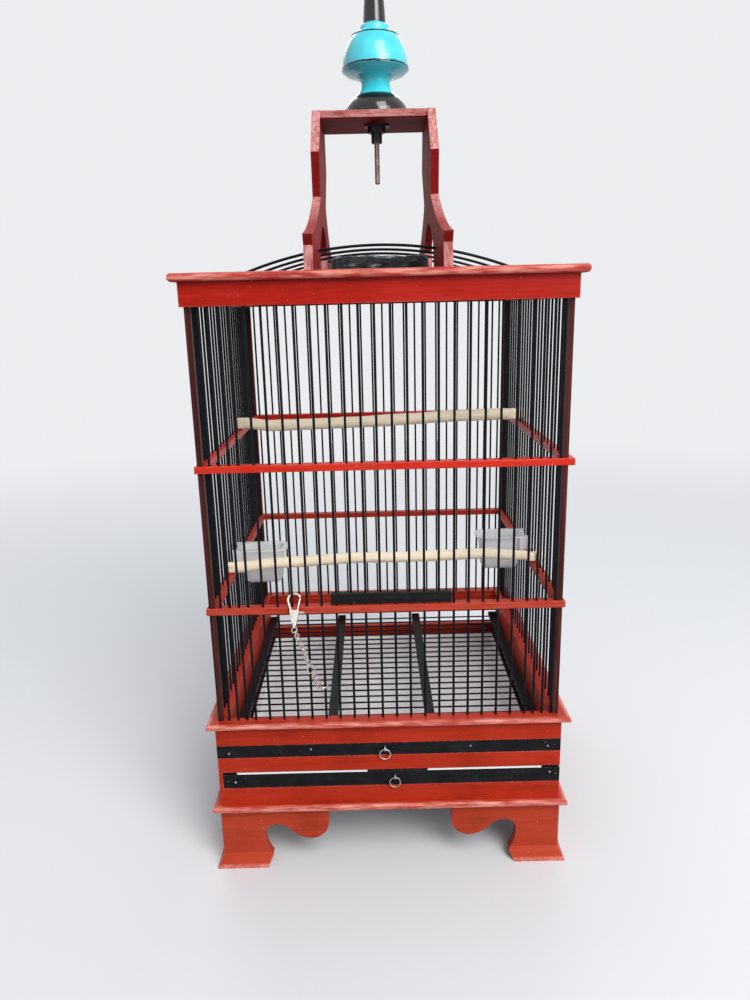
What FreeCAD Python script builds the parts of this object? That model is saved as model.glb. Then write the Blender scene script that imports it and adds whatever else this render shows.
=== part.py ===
import FreeCAD, Part
import math
import os

V = FreeCAD.Vector

# Square bird cage of painted wood and black bars, with a turned finial and a steel hook.
# Millimetres. X to the right, Y from the front to the back, Z up.
# The origin is the middle of the footprint, on the surface that the feet stand on.

# General clearances and overruns
FIT = 0.05              # radial play of a bar, rod or pin in its hole
SLIDE_GAP = 0.4         # play round a drawer front in its slot
REST_GAP = 0.2          # play between a sliding piece and what carries it
OVERRUN = 5.0           # how far a cutting tool runs past the piece it cuts

# Plan sizes of the wooden frames
RING_HALF = 180.0       # outer half width of the two ring frames
RAIL_DEPTH = 10.0
RAIL_HEIGHT = 7.0
RAIL_EDGE = 0.8         # rounding of the rails' long edges
RIGHT_RAIL_OUT = 3.5    # the upper ring's right rail stands this far outside the lower one's
BASE_STEP = 1.0         # the base stands this far outside the rings
BASE_HALF = RING_HALF + BASE_STEP
FRONT_THICK = 10.0      # front and back boards of the base
SIDE_THICK = 12.0       # side boards of the base
APRON_THICK = 10.0
MOULDING_OUT = 8.0      # the base mouldings stand out this far
MOULDING_HALF = BASE_HALF + MOULDING_OUT
MOULDING_FRONT_LAP = 9.0
MOULDING_SIDE_LAP = 13.0
LEDGE_OUT = 7.0         # the top ledge stands out this far
LEDGE_HALF = BASE_HALF + LEDGE_OUT
LEDGE_WIDTH = 54.0

# Heights, from the floor up
FOOT_HEIGHT = 68.0
LOW_MOULDING_THICK = 6.8
BOTTOM_RAIL_HEIGHT = 19.4
TRAY_SLOT_HEIGHT = 19.1
MID_RAIL_HEIGHT = 17.2
GRATE_SLOT_HEIGHT = 14.5
TOP_RAIL_HEIGHT = 22.2
BASE_MOULDING_THICK = 5.4
LOWER_BAY = 119.4
MIDDLE_BAY = 138.5
UPPER_BAY = 147.5
APRON_HEIGHT = 21.7
LEDGE_THICK = 7.7
NOSE_SHARE = 0.42       # nose radius as a share of a moulding's thickness

Z_LOW_MOULDING = FOOT_HEIGHT
Z_BOTTOM_RAIL = Z_LOW_MOULDING + LOW_MOULDING_THICK
Z_TRAY_SLOT = Z_BOTTOM_RAIL + BOTTOM_RAIL_HEIGHT
Z_MID_RAIL = Z_TRAY_SLOT + TRAY_SLOT_HEIGHT
Z_GRATE_SLOT = Z_MID_RAIL + MID_RAIL_HEIGHT
Z_TOP_RAIL = Z_GRATE_SLOT + GRATE_SLOT_HEIGHT
Z_BASE_MOULDING = Z_TOP_RAIL + TOP_RAIL_HEIGHT
Z_DECK = Z_BASE_MOULDING + BASE_MOULDING_THICK
Z_LOWER_RING = Z_DECK + LOWER_BAY
Z_LOWER_TOP = Z_LOWER_RING + RAIL_HEIGHT
Z_UPPER_RING = Z_LOWER_TOP + MIDDLE_BAY
Z_UPPER_TOP = Z_UPPER_RING + RAIL_HEIGHT
Z_APRON = Z_UPPER_TOP + UPPER_BAY
Z_LEDGE = Z_APRON + APRON_HEIGHT
Z_ROOF = Z_LEDGE + LEDGE_THICK

# Bars and corner posts
BAR_RADIUS = 1.25
BAR_INSET = 3.8         # line of the wall bars, in from the rings' outer face
BAR_LINE = RING_HALF - BAR_INSET
FRONT_BAR_SHIFT = 2.1   # the front bars sit a little to the right
BAR_SINK = 8.0          # how far bars run up into the apron
POST_SIZE = 5.5
POST_INSET = 2.45
POST_SINK = 10.0
POST_BAR_GAP = 0.675    # last bar clear of the post beside it
BAR_FIELD_HALF = RING_HALF - POST_INSET - POST_SIZE - POST_BAR_GAP - BAR_RADIUS - FRONT_BAR_SHIFT
WIDE_BARS = 20
NARROW_BARS = 3         # closer bars beside each post
NARROW_PITCH_SHARE = 0.0553  # their pitch, of half the wall that holds bars
NARROW_PITCH = BAR_FIELD_HALF * NARROW_PITCH_SHARE
BAR_PITCH = (BAR_FIELD_HALF - NARROW_BARS * NARROW_PITCH) * 2 / (WIDE_BARS - 1)

# Lifting door: the strip stands on the lower ring, the bars slide in the upper ring
SKIPPED_BARS = 6        # wide front bars to the left of the door
DOOR_BARS = 8
DOOR_SETBACK = 3.4      # door bars run this far inside the line of the wall bars
DOOR_LINE = BAR_LINE - DOOR_SETBACK
DOOR_STRIP_HEIGHT = 11.7
DOOR_STRIP_DEPTH = 6.0
DOOR_STRIP_REACH = 5.5  # strip past the leftmost door bar
DOOR_STRIP_GAP = 1.0    # strip clear of the fixed bar on its right
DOOR_STRIP_EDGE = 0.7
DOOR_BAR_ABOVE = 19.0   # door bars' free ends above the upper ring
DOOR_BAR_SINK = 7.0

# Bracket feet: outline points as shares of the bracket's span and of the foot's height
FOOT_SPAN = 122.5
FOOT_THICK = 10.0
FOOT_FLARE = 7.0        # the foot's bottom edge stands out this far
FOOT_FLARE_HEIGHT = 14.0
LOBE_START_SHARES = (0.0, 0.765)
LOBE_TURN_SHARES = (0.037, 0.551)
LOBE_LOW_SHARES = (0.143, 0.456)
LOBE_RISE_SHARES = (0.249, 0.5)
COVE_START_SHARES = (0.331, 0.61)
COVE_TURN_SHARES = (0.38, 0.681)
COVE_TOP_SHARES = (0.445, 0.72)
THROAT_TURN_SHARES = (0.543, 0.66)
THROAT_SHARES = (0.567, 0.5)
ANKLE_TURN_SHARES = (0.551, 0.324)
ANKLE_SHARES = (0.506, 0.162)
TOE_SHARES = (0.551, 0.0)

# Pull-out wire floor
GRATE_FRONT_THICK = FRONT_THICK
GRATE_STRIP_WIDTH = 11.0
GRATE_STRIP_THICK = 5.0
GRATE_STRIP_DROP = 3.5  # strips' top below the front rail's bottom
GRATE_SIDE_GAP = 0.7
GRATE_BACK_GAP = 5.0
GRATE_MID_SPREAD = 109.5
GRATE_MID_SHIFT = -6.7
GRATE_WIRE_RADIUS = 1.0
GRATE_WIRES = 23
GRATE_WIRE_START = 13.0  # first wire behind the front's back face
GRATE_WIRE_END = 11.6   # last wire before the strips' back ends
GRATE_DEPTH = BASE_HALF * 2 - GRATE_FRONT_THICK - FRONT_THICK - GRATE_BACK_GAP
GRATE_WIRE_PITCH = (GRATE_DEPTH - GRATE_WIRE_START - GRATE_WIRE_END) / (GRATE_WIRES - 1)
RUNNER_WIDTH = 8.0
GRATE_RUNNER_HEIGHT = 5.2
GRATE_TENON = 4.0       # strips run this far into the drawer front
RUNNER_SETBACK = 1.0    # runners begin this far behind the drawer fronts

# Pull-out tray
TRAY_FRONT_HEIGHT = 15.8
TRAY_CHEEK = 4.0        # red cheek left of the tray front
TRAY_SIDE_WIDTH = 6.4
TRAY_SIDE_HEIGHT = 13.0
TRAY_RIM_GAP = 0.9      # pan rim below the middle rail
TRAY_BACK_GAP = 13.0
TRAY_BACK_WIDTH = 8.0
TRAY_RUNNER_HEIGHT = 4.5
TRAY_FLOOR_LIFT = 0.6
PAN_WALL = 1.0
PAN_GAP = 0.3
PAN_EDGE = 2.0
PAN_FLANGE_SETBACK = 0.5  # flange behind the drawer's face
LIP_GAP = 0.5           # flange clear of the lip
LIP_LENGTH = 63.0
LIP_SHIFT = 8.8
LIP_HEIGHT = 2.4
LIP_DEPTH = 6.0
LIP_EDGE = 0.8

# Ring pulls on screw eyes
EYE_RADIUS = 2.6
EYE_WIRE = 0.7
EYE_STAND_OFF = 3.4     # eye's middle in front of the drawer face
EYE_SHANK = 7.0
PULL_RADIUS = 5.6
PULL_WIRE = 0.6
UPPER_EYE_SHIFT = -4.0
UPPER_EYE_DROP = 4.5    # below the top edge of the drawer front
LOWER_EYE_SHIFT = 6.0
LOWER_EYE_DROP = 4.2

# Roof
LEDGE_INNER = LEDGE_HALF - LEDGE_WIDTH
ARC_INSET = 6.0         # bent roof rods enter the ledge this far from its opening
ARC_REACH = LEDGE_INNER + ARC_INSET
ARC_CROWN = 26.6        # crown above the ledge
ARC_RADIUS = (ARC_REACH * ARC_REACH + ARC_CROWN * ARC_CROWN) / (ARC_CROWN * 2)
ARC_ROD = 1.4
ARC_SINK = 6.0          # rods' ends below the ledge's top
ARC_SPACING_SHARE = 0.4627  # between rods, of half the ledge's opening
ARC_SPACING = LEDGE_INNER * ARC_SPACING_SHARE
ARC_COUNT = 4
ROOF_BAR_SINK = 6.0
BLOCK_HALF_LENGTH = 54.0
BLOCK_SHIFT = 3.0       # block's middle to the right
BLOCK_HALF_WIDTH = 36.0
BLOCK_EDGE = 4.0
BLOCK_PLAY = 0.1

# Arch: two carved boards with a cap board between them
ARCH_THICK = 8.5
ARCH_HEIGHT = 162.6
ARCH_INNER_HALF = 54.8  # between the boards at the cap
ARCH_SPLAY = 1.5        # degrees that the boards lean outwards
ARCH_TOP_HALF = 38.0
SHOULDER_HALF = 66.0
SHOULDER_UP = 118.6
WAIST_HALF = 47.0
WAIST_UP = 78.6
ARCH_SETBACK = 6.0      # toes short of the ledge's edge
ARCH_TOE_HALF = LEDGE_HALF - ARCH_SETBACK
ARCH_TOE_UP = 30.6
FLARE_SHARE = 0.577     # where the flare is measured, of the toe's distance
FLARE_HALF = ARCH_TOE_HALF * FLARE_SHARE
FLARE_UP = 50.6
UNDERCUT_DEPTH = 8.0
UNDERCUT_HALF = ARCH_TOE_HALF - UNDERCUT_DEPTH
UNDERCUT_UP = 21.6
FOOT_DRAFT = 2.0        # the foot draws in further towards the ledge
ARCH_FOOT_HALF = UNDERCUT_HALF - FOOT_DRAFT
ARCH_DOOR_HALF = 62.0
ARCH_DOOR_SPRING = 28.0
ARCH_DOOR_TURN_HALF = 40.0
ARCH_DOOR_TURN_UP = 44.6
ARCH_DOOR_APEX = 53.6
CAP_THICK = 7.6
CAP_EDGE = 0.8

# Hook rod and its hardware
ROD_RADIUS = 3.0
ROD_SHIFT = 3.0         # the rod stands a little right of the middle
ROD_BELOW_CAP = 58.8    # threaded end below the cap's underside
ROD_CHAMFER = 0.8
ROD_ABOVE = 4.0         # straight rod above the finial
HOOK_RADIUS = 17.0
HOOK_LEAN = 60.0        # degrees of the first bend
HOOK_TIP = 200.0        # degrees, where the hook ends
WASHER_RADIUS = 13.3
WASHER_THICK = 1.6
SPACER_FLATS = 17.0
SPACER_HEIGHT = 6.0
NUT_FLATS = 10.0
NUT_HEIGHT = 5.0
NUT_GAP = 0.1

# Turned finial, three pieces on the rod
DOME_RADIUS = 34.4
DOME_HEIGHT = 20.2
DOME_TURN_SHARES = (0.91, 0.55)
SEAT_RADIUS = 22.2
SEAT_TURN_RADIUS = 17.4
SEAT_TURN_UP = 6.5
NECK_RADIUS = 15.2
NECK_UP = 13.2
BOWL_TURN_RADIUS = 18.2
BOWL_TURN_UP = 17.2
BOWL_RADIUS = 24.1
BOWL_UP = 19.6
UNDER_RADIUS = 31.0     # where the underside starts to turn up to the rim
UNDER_UP = 21.6
BELL_RADIUS = 35.3
BELL_RIM_UP = 24.7
BELL_RIM_THICK = 2.0
BELL_RIM_STEP = 0.9     # rim stands this far outside the bell above it
BELL_TURN_RADIUS = 31.0
BELL_TURN_UP = 44.7
BELL_TOP_RADIUS = 25.2
BELL_TOP_UP = 55.7
GROOVE_DEPTH = 1.2
GROOVE_WIDTH = 1.0
COLLAR_RADIUS = 16.0
COLLAR_UP = 61.5
COLLAR_TOP_RADIUS = 15.3
COLLAR_TOP_UP = 66.0
BELL_HEIGHT = 68.5
STEM_RADIUS = 11.8
STEM_TURN_RADIUS = 10.9
STEM_WAIST_RADIUS = 9.6
STEM_WAIST_UP = 34.0
BEAD_RADIUS = 12.0
BEAD_UP = 42.0
STEM_TOP_RADIUS = 7.0
STEM_HEIGHT = 53.3

# Perches, resting on the side rails between the wall bars
UPPER_PERCH_RADIUS = 7.0
UPPER_PERCH_RIGHT_RADIUS = 7.3
LOWER_PERCH_RADIUS = 6.3
LOWER_PERCH_RIGHT_RADIUS = 5.8
PERCH_END_PLAY = 1.125  # flats clear of the bars beside them
PERCH_END_WIDTH = BAR_PITCH - BAR_RADIUS * 2 - PERCH_END_PLAY * 2
PERCH_END_LENGTH = 14.0
PERCH_LEFT = RING_HALF  # left end, from the middle
PERCH_RIGHT_OVER = 5.5  # right end past the lower ring's outer face
PERCH_RIGHT = RING_HALF + PERCH_RIGHT_OVER
UPPER_PERCH_SHARES = (3, 5)  # left and right end behind the middle, of the bars' pitch
LOWER_PERCH_SHARES = (-5, -4)
PERCH_PLAY = 0.15

# Feeding cups, hooked over the lower side rails
CUP_LENGTH = 52.0       # from the wall into the cage
CUP_WIDTH = 30.0        # along the wall
CUP_LIP = 4.0           # rim flange stands out this far
CUP_LIP_THICK = 1.6
CUP_HEIGHT = 43.5
CUP_DRAFT = 4.0
CUP_CORNER = 9.0
CUP_BOTTOM_EDGE = 8.0
CUP_WALL = 1.6
CUP_WALL_GAP = 1.0      # cup clear of the rail's inner face
CUP_RIM_ABOVE = 17.0    # rim above the lower rail
CUP_TAB_WIDTH = 5.0     # hook's arm, between two bars
CUP_TAB_THICK = 2.0
CUP_TAB_DROP = 8.0      # hook's outer leg below the rail's top
CUP_TAB_PLAY = 0.3
LEFT_CUP_SHARE = -2     # behind the middle, of the bars' pitch
RIGHT_CUP_SHARE = 0

# Snap hook on a front bar, leaning on the rail, and its chain to a second bar
SNAP_BARS = 3           # wide front bars to the left of the hook's bar
CHAIN_BARS = 5          # and of the bar that the chain's end ring goes round
SNAP_SHIFT = 2.4        # hook's middle to the right of its bar
SNAP_LEAN = 32.0        # degrees from upright, the lower end to the front
SNAP_PLAY = 0.3         # loop clear of the bar, and its leg clear of the rail
SNAP_WIRE = 1.1
SNAP_LOOP_RADIUS = 6.6
SNAP_LOOP_END = 25.0    # degrees above level, where the loop's free end stops
SNAP_LEG = 11.0         # from the loop's middle down to the leg's foot
SNAP_FOOT = 3.2
SNAP_BODY_LAP = 1.0     # body above the leg's foot
SNAP_BODY_TOP = 9.6
SNAP_BODY_LOW = 5.0
SNAP_BODY_HEIGHT = 13.0
SNAP_BODY_THICK = 3.6
SNAP_COLLAR_RADIUS = 2.4
SNAP_COLLAR_HEIGHT = 3.2
GATE_SIDE = 2.4         # gate's pin, right of the hook's middle
GATE_DROP = 2.6         # and below the body's top
GATE_PIN = 0.6
GATE_BOSS = 1.9
GATE_THICK = 1.6
GATE_SLOT_PLAY = 0.1
GATE_WIRE = 0.75
GATE_GAP = 1.4          # gate's tip short of the loop's end
KNOB_GAP = 1.2          # knob clear of the body's side
KNOB_RADIUS = 1.3
KNOB_LENGTH = 4.0
SWIVEL_PIN = 0.8
SWIVEL_DEPTH = 6.0
SWIVEL_GAP = 0.3
SWIVEL_EYE = 2.8
SWIVEL_WIRE = 0.6
LINK_RADIUS = 2.3
LINK_WIRE = 0.55
LINK_PLAY = 0.1
UPPER_LINKS = 13        # odd, so that the last one crosses the ring
LOWER_LINKS = 6         # even, so that the last one crosses the end ring
CHAIN_RING_RADIUS = 4.3
CHAIN_RING_WIRE = 0.6
END_RING_RADIUS = 4.7
END_RING_WIRE = 0.6
END_RING_PLAY = 0.2


def box(x0, x1, y0, y1, z0, z1):
    """Block between two corners."""
    low = V(min(x0, x1), min(y0, y1), min(z0, z1))
    return Part.makeBox(abs(x1 - x0), abs(y1 - y0), abs(z1 - z0), low)


def rod(start, end, radius):
    """Round bar between two points."""
    run = end - start
    return Part.makeCylinder(radius, run.Length, start, run)


def edges_along(shape, axis, where):
    """Straight edges that run along one axis and whose middle passes the test."""
    found = []
    for edge in shape.Edges:
        if edge.Curve.TypeId != "Part::GeomLine":
            continue
        run = edge.Vertexes[1].Point - edge.Vertexes[0].Point
        if abs(run.dot(axis)) > run.Length * math.cos(math.radians(1)) and where(edge.CenterOfMass):
            found.append(edge)
    return found


def mirror_x(shape):
    return shape.mirror(V(), V(1, 0, 0))


def mirror_y(shape):
    return shape.mirror(V(), V(0, 1, 0))


def cut_all(shape, tools):
    """Shape less every tool that reaches it."""
    near = [tool for tool in tools if tool.BoundBox.intersect(shape.BoundBox)]
    return shape.cut(near) if near else shape


def revolved(edges):
    """Turned piece from a closed half outline in the XZ plane."""
    return Part.Face(Part.Wire(edges)).revolve(V(), V(0, 0, 1), 360)


def line(first, second):
    return Part.LineSegment(V(*first), V(*second)).toShape()


def arc(first, middle, last):
    return Part.Arc(V(*first), V(*middle), V(*last)).toShape()


def write(name, solids):
    """One STEP file for a node, from one solid or several separate ones."""
    solids = [piece for shape in solids for piece in shape.Solids]
    shape = solids[0] if len(solids) == 1 else Part.makeCompound(solids)
    shape.exportStep(os.path.join("parts", name + ".step"))


def wall_places(shift):
    """Places of one wall's bars along the wall, from left to right."""
    middle = (WIDE_BARS - 1) / 2
    wide = [(number - middle) * BAR_PITCH + shift for number in range(WIDE_BARS)]
    steps = [NARROW_PITCH * (number + 1) for number in range(NARROW_BARS)]
    return [wide[0] - step for step in reversed(steps)] + wide + [wide[-1] + step for step in steps]


def front_columns():
    """Front wall's wide columns, which the door, the snap hook and the chain use by number."""
    return wall_places(FRONT_BAR_SHIFT)[NARROW_BARS:NARROW_BARS + WIDE_BARS]


def door_columns():
    return front_columns()[SKIPPED_BARS:SKIPPED_BARS + DOOR_BARS]


def wall_bars(radius):
    """Bars of the four walls as named lists of solids; a larger radius gives their holes."""
    low = Z_BASE_MOULDING
    high = Z_APRON + BAR_SINK
    front = []
    for place in wall_places(FRONT_BAR_SHIFT):
        if place in door_columns():
            front.append(rod(V(place, -BAR_LINE, low), V(place, -BAR_LINE, Z_LOWER_TOP), radius))
            front.append(rod(V(place, -BAR_LINE, Z_UPPER_RING), V(place, -BAR_LINE, high), radius))
        else:
            front.append(rod(V(place, -BAR_LINE, low), V(place, -BAR_LINE, high), radius))
    back = [rod(V(place, BAR_LINE, low), V(place, BAR_LINE, high), radius) for place in wall_places(0)]
    left = [rod(V(-BAR_LINE, place, low), V(-BAR_LINE, place, high), radius) for place in wall_places(0)]
    right = [mirror_x(bar) for bar in left]
    return {"front_bars": front, "back_bars": back, "left_bars": left, "right_bars": right}


def corner_posts(play):
    """Four square posts from the base to the apron; play widens them into their sockets."""
    outer = RING_HALF - POST_INSET + play
    inner = RING_HALF - POST_INSET - POST_SIZE - play
    post = box(-outer, -inner, -outer, -inner, Z_BASE_MOULDING, Z_APRON + POST_SINK + play)
    pair = [post, mirror_x(post)]
    return pair + [mirror_y(piece) for piece in pair]


def door_bars(radius):
    low = Z_LOWER_TOP + REST_GAP + DOOR_STRIP_HEIGHT - DOOR_BAR_SINK
    high = Z_UPPER_TOP + DOOR_BAR_ABOVE
    return [rod(V(x, -DOOR_LINE, low), V(x, -DOOR_LINE, high), radius) for x in door_columns()]


def four_strips(slab, inner_x, inner_y, low, high):
    """Slab with an opening, sawn into a front, a back and two side strips."""
    far = slab.BoundBox.XMax + OVERRUN
    front = slab.common(box(-far, far, -far, -inner_y, low, high))
    left = slab.common(box(-far, -inner_x, -inner_y, inner_y, low, high))
    return [front, mirror_y(front), left, mirror_x(left)]


def nosed_slab(half, low, high):
    """Square slab whose outer edges are rounded to a nose."""
    slab = box(-half, half, -half, half, low, high)
    edges = [edge for edge in slab.Edges if abs(edge.Vertexes[0].Z - edge.Vertexes[1].Z) < FIT]
    return slab.makeFillet((high - low) * NOSE_SHARE, edges)


def moulding(half, inner_x, inner_y, low, high):
    return four_strips(nosed_slab(half, low, high), inner_x, inner_y, low, high)


def ring(low, out):
    """Ring frame of four rails with eased long edges, the right one further out."""
    high = low + RAIL_HEIGHT
    right = RING_HALF + out
    slab = box(-RING_HALF, right, -RING_HALF, RING_HALF, low, high)
    outer = [edge for edge in slab.Edges if abs(edge.Vertexes[0].Z - edge.Vertexes[1].Z) < FIT]
    slab = slab.makeFillet(RAIL_EDGE, outer)
    inner = RING_HALF - RAIL_DEPTH
    far = right + OVERRUN
    front = slab.common(box(-far, far, -far, -inner, low, high))
    left_rail = slab.common(box(-far, -inner, -inner, inner, low, high))
    right_rail = slab.common(box(right - RAIL_DEPTH, far, -inner, inner, low, high))
    return [front, mirror_y(front), left_rail, right_rail]


def build_frame():
    """Rings, posts, bars, apron and top ledge."""
    bars = wall_bars(BAR_RADIUS)
    holes = [hole for group in wall_bars(BAR_RADIUS + FIT).values() for hole in group]
    sockets = corner_posts(FIT)
    guides = door_bars(BAR_RADIUS + FIT)
    for name, solids in bars.items():
        write(name, solids)
    write("corner_posts", corner_posts(0))
    write("lower_ring", [cut_all(rail, holes + sockets) for rail in ring(Z_LOWER_RING, 0)])
    write("upper_ring", [cut_all(rail, holes + sockets + guides) for rail in ring(Z_UPPER_RING, RIGHT_RAIL_OUT)])
    inner = BASE_HALF - APRON_THICK
    apron = box(-BASE_HALF, BASE_HALF, -BASE_HALF, BASE_HALF, Z_APRON, Z_LEDGE)
    boards = four_strips(apron, inner, inner, Z_APRON, Z_LEDGE)
    write("top_apron", [cut_all(board, holes + sockets) for board in boards])
    low_x = BASE_HALF - SIDE_THICK
    write("lower_moulding", moulding(MOULDING_HALF, low_x, low_x, Z_LOW_MOULDING, Z_BOTTOM_RAIL))
    deck_x = BASE_HALF - MOULDING_SIDE_LAP
    deck_y = BASE_HALF - MOULDING_FRONT_LAP
    deck = moulding(MOULDING_HALF, deck_x, deck_y, Z_BASE_MOULDING, Z_DECK)
    write("base_moulding", [cut_all(strip, holes + sockets) for strip in deck])


def build_door():
    """Lifting door: a strip on the lower ring and eight bars that slide in the upper ring."""
    columns = door_columns()
    low = Z_LOWER_TOP + REST_GAP
    right = columns[-1] + BAR_PITCH - BAR_RADIUS - DOOR_STRIP_GAP
    strip = box(columns[0] - DOOR_STRIP_REACH, right,
                -DOOR_LINE - DOOR_STRIP_DEPTH / 2, -DOOR_LINE + DOOR_STRIP_DEPTH / 2,
                low, low + DOOR_STRIP_HEIGHT)
    strip = strip.makeFillet(DOOR_STRIP_EDGE, edges_along(strip, V(1, 0, 0), lambda middle: True))
    write("door_strip", [cut_all(strip, door_bars(BAR_RADIUS + FIT))])
    write("door_bars", door_bars(BAR_RADIUS))


def foot_outline():
    """Bracket foot's outline in the XZ plane, from the inner end to the corner, at the right."""
    inner = BASE_HALF + BASE_STEP + FOOT_FLARE - FOOT_SPAN
    far = inner + FOOT_SPAN

    def at(shares):
        return (inner + shares[0] * FOOT_SPAN, 0, shares[1] * FOOT_HEIGHT)

    edges = [
        line((inner, 0, FOOT_HEIGHT), at(LOBE_START_SHARES)),
        arc(at(LOBE_START_SHARES), at(LOBE_TURN_SHARES), at(LOBE_LOW_SHARES)),
        arc(at(LOBE_LOW_SHARES), at(LOBE_RISE_SHARES), at(COVE_START_SHARES)),
        arc(at(COVE_START_SHARES), at(COVE_TURN_SHARES), at(COVE_TOP_SHARES)),
        arc(at(COVE_TOP_SHARES), at(THROAT_TURN_SHARES), at(THROAT_SHARES)),
        arc(at(THROAT_SHARES), at(ANKLE_TURN_SHARES), at(ANKLE_SHARES)),
        line(at(ANKLE_SHARES), at(TOE_SHARES)),
        line(at(TOE_SHARES), (far, 0, 0)),
        line((far, 0, 0), (far, 0, FOOT_HEIGHT)),
        line((far, 0, FOOT_HEIGHT), (inner, 0, FOOT_HEIGHT)),
    ]
    return Part.Face(Part.Wire(edges))


def foot_board():
    """Front board of the right foot, mitred at the corner and flared at the floor."""
    face = BASE_HALF + BASE_STEP
    out = face + FOOT_FLARE
    back = face - FOOT_THICK
    points = [V(0, -back, 0), V(0, -out, 0), V(0, -face, FOOT_FLARE_HEIGHT),
              V(0, -face, FOOT_HEIGHT), V(0, -back, FOOT_HEIGHT), V(0, -back, 0)]
    section = Part.Face(Part.makePolygon(points))
    board = section.extrude(V(out, 0, 0))
    outline = foot_outline()
    outline.translate(V(0, -out - OVERRUN, 0))
    board = board.common(outline.extrude(V(0, FOOT_THICK + FOOT_FLARE + OVERRUN * 2, 0)))
    far = out + OVERRUN
    mitre = Part.Face(Part.makePolygon([V(), V(far, -far, 0), V(0, -far, 0), V()]))
    return board.common(mitre.extrude(V(0, 0, FOOT_HEIGHT)))


def build_feet():
    """Four corner feet, each of two mitred bracket boards."""
    front = foot_board()
    side = front.mirror(V(), V(1, 1, 0))
    right = [front, side]
    left = [mirror_x(board) for board in right]
    write("foot_front_right", right)
    write("foot_front_left", left)
    write("foot_back_right", [mirror_y(board) for board in right])
    write("foot_back_left", [mirror_y(board) for board in left])


def build_base():
    """Base box: three front rails, two side boards and two back boards, with runners."""
    half = BASE_HALF
    front_back = -half + FRONT_THICK
    write("base_bottom_rail", [box(-half, half, -half, front_back, Z_BOTTOM_RAIL, Z_TRAY_SLOT)])
    rail = box(-half, half, -half, front_back, Z_MID_RAIL, Z_GRATE_SLOT)
    cheek = box(-half, -half + TRAY_CHEEK, -half, front_back, Z_TRAY_SLOT, Z_MID_RAIL)
    write("base_mid_rail", [rail.fuse(cheek).removeSplitter()])
    write("base_top_rail", [box(-half, half, -half, front_back, Z_TOP_RAIL, Z_BASE_MOULDING)])
    inner = half - SIDE_THICK
    left = box(-half, -inner, front_back, half - FRONT_THICK, Z_BOTTOM_RAIL, Z_BASE_MOULDING)
    write("base_left_board", [left])
    write("base_right_board", [mirror_x(left)])
    back = half - FRONT_THICK
    slot_low = Z_GRATE_SLOT - MID_RAIL_HEIGHT / 2
    slot_high = Z_TOP_RAIL - GRATE_STRIP_DROP
    write("base_back_lower", [box(-half, half, back, half, Z_BOTTOM_RAIL, slot_low)])
    write("base_back_upper", [box(-half, half, back, half, slot_high, Z_BASE_MOULDING)])
    start = front_back + RUNNER_SETBACK
    grate_top = grate_strip_low() - REST_GAP
    grate = box(-inner, -inner + RUNNER_WIDTH, start, back, grate_top - GRATE_RUNNER_HEIGHT, grate_top)
    write("grate_runners", [grate, mirror_x(grate)])
    tray_top = tray_low() - REST_GAP
    tray = box(-inner, -inner + RUNNER_WIDTH, start, back, tray_top - TRAY_RUNNER_HEIGHT, tray_top)
    write("tray_runners", [tray, mirror_x(tray)])


def grate_strip_low():
    return Z_TOP_RAIL - GRATE_STRIP_DROP - GRATE_STRIP_THICK


def tray_low():
    return Z_TRAY_SLOT + SLIDE_GAP


def grate_strip_places():
    """Middle lines of the four strips, left to right."""
    outer = BASE_HALF - SIDE_THICK - GRATE_SIDE_GAP - GRATE_STRIP_WIDTH / 2
    half = GRATE_MID_SPREAD / 2
    return [-outer, GRATE_MID_SHIFT - half, GRATE_MID_SHIFT + half, outer]


def grate_wires(radius):
    """Cross wires, from one outer strip to the other."""
    reach = BASE_HALF - SIDE_THICK - GRATE_SIDE_GAP
    height = grate_strip_low() + GRATE_STRIP_THICK / 2
    first = -BASE_HALF + GRATE_FRONT_THICK + GRATE_WIRE_START
    places = [first + number * GRATE_WIRE_PITCH for number in range(GRATE_WIRES)]
    return [rod(V(-reach, y, height), V(reach, y, height), radius) for y in places]


def build_grate():
    """Wire floor that pulls out to the front."""
    half = BASE_HALF
    low = Z_GRATE_SLOT + SLIDE_GAP
    high = Z_TOP_RAIL - SLIDE_GAP
    face_back = -half + GRATE_FRONT_THICK
    front = box(-half, half, -half, face_back, low, high)
    strip_low = grate_strip_low()
    end = half - FRONT_THICK - GRATE_BACK_GAP
    strips = []
    sockets = []
    for place in grate_strip_places():
        side = GRATE_STRIP_WIDTH / 2
        strips.append(box(place - side, place + side, face_back - GRATE_TENON, end,
                          strip_low, strip_low + GRATE_STRIP_THICK))
        sockets.append(box(place - side - FIT, place + side + FIT, face_back - GRATE_TENON, face_back,
                           strip_low - FIT, strip_low + GRATE_STRIP_THICK + FIT))
    eye = eye_place(UPPER_EYE_SHIFT, high - UPPER_EYE_DROP)
    write("grate_front", [cut_all(front, sockets + [eye_shank(eye, EYE_WIRE + FIT)])])
    holes = grate_wires(GRATE_WIRE_RADIUS + FIT)
    write("grate_strips", [cut_all(strip, holes) for strip in strips])
    write("grate_wires", grate_wires(GRATE_WIRE_RADIUS))
    write("upper_pull_eye", [screw_eye(eye)])
    write("upper_pull_ring", [pull_ring(eye)])


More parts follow.
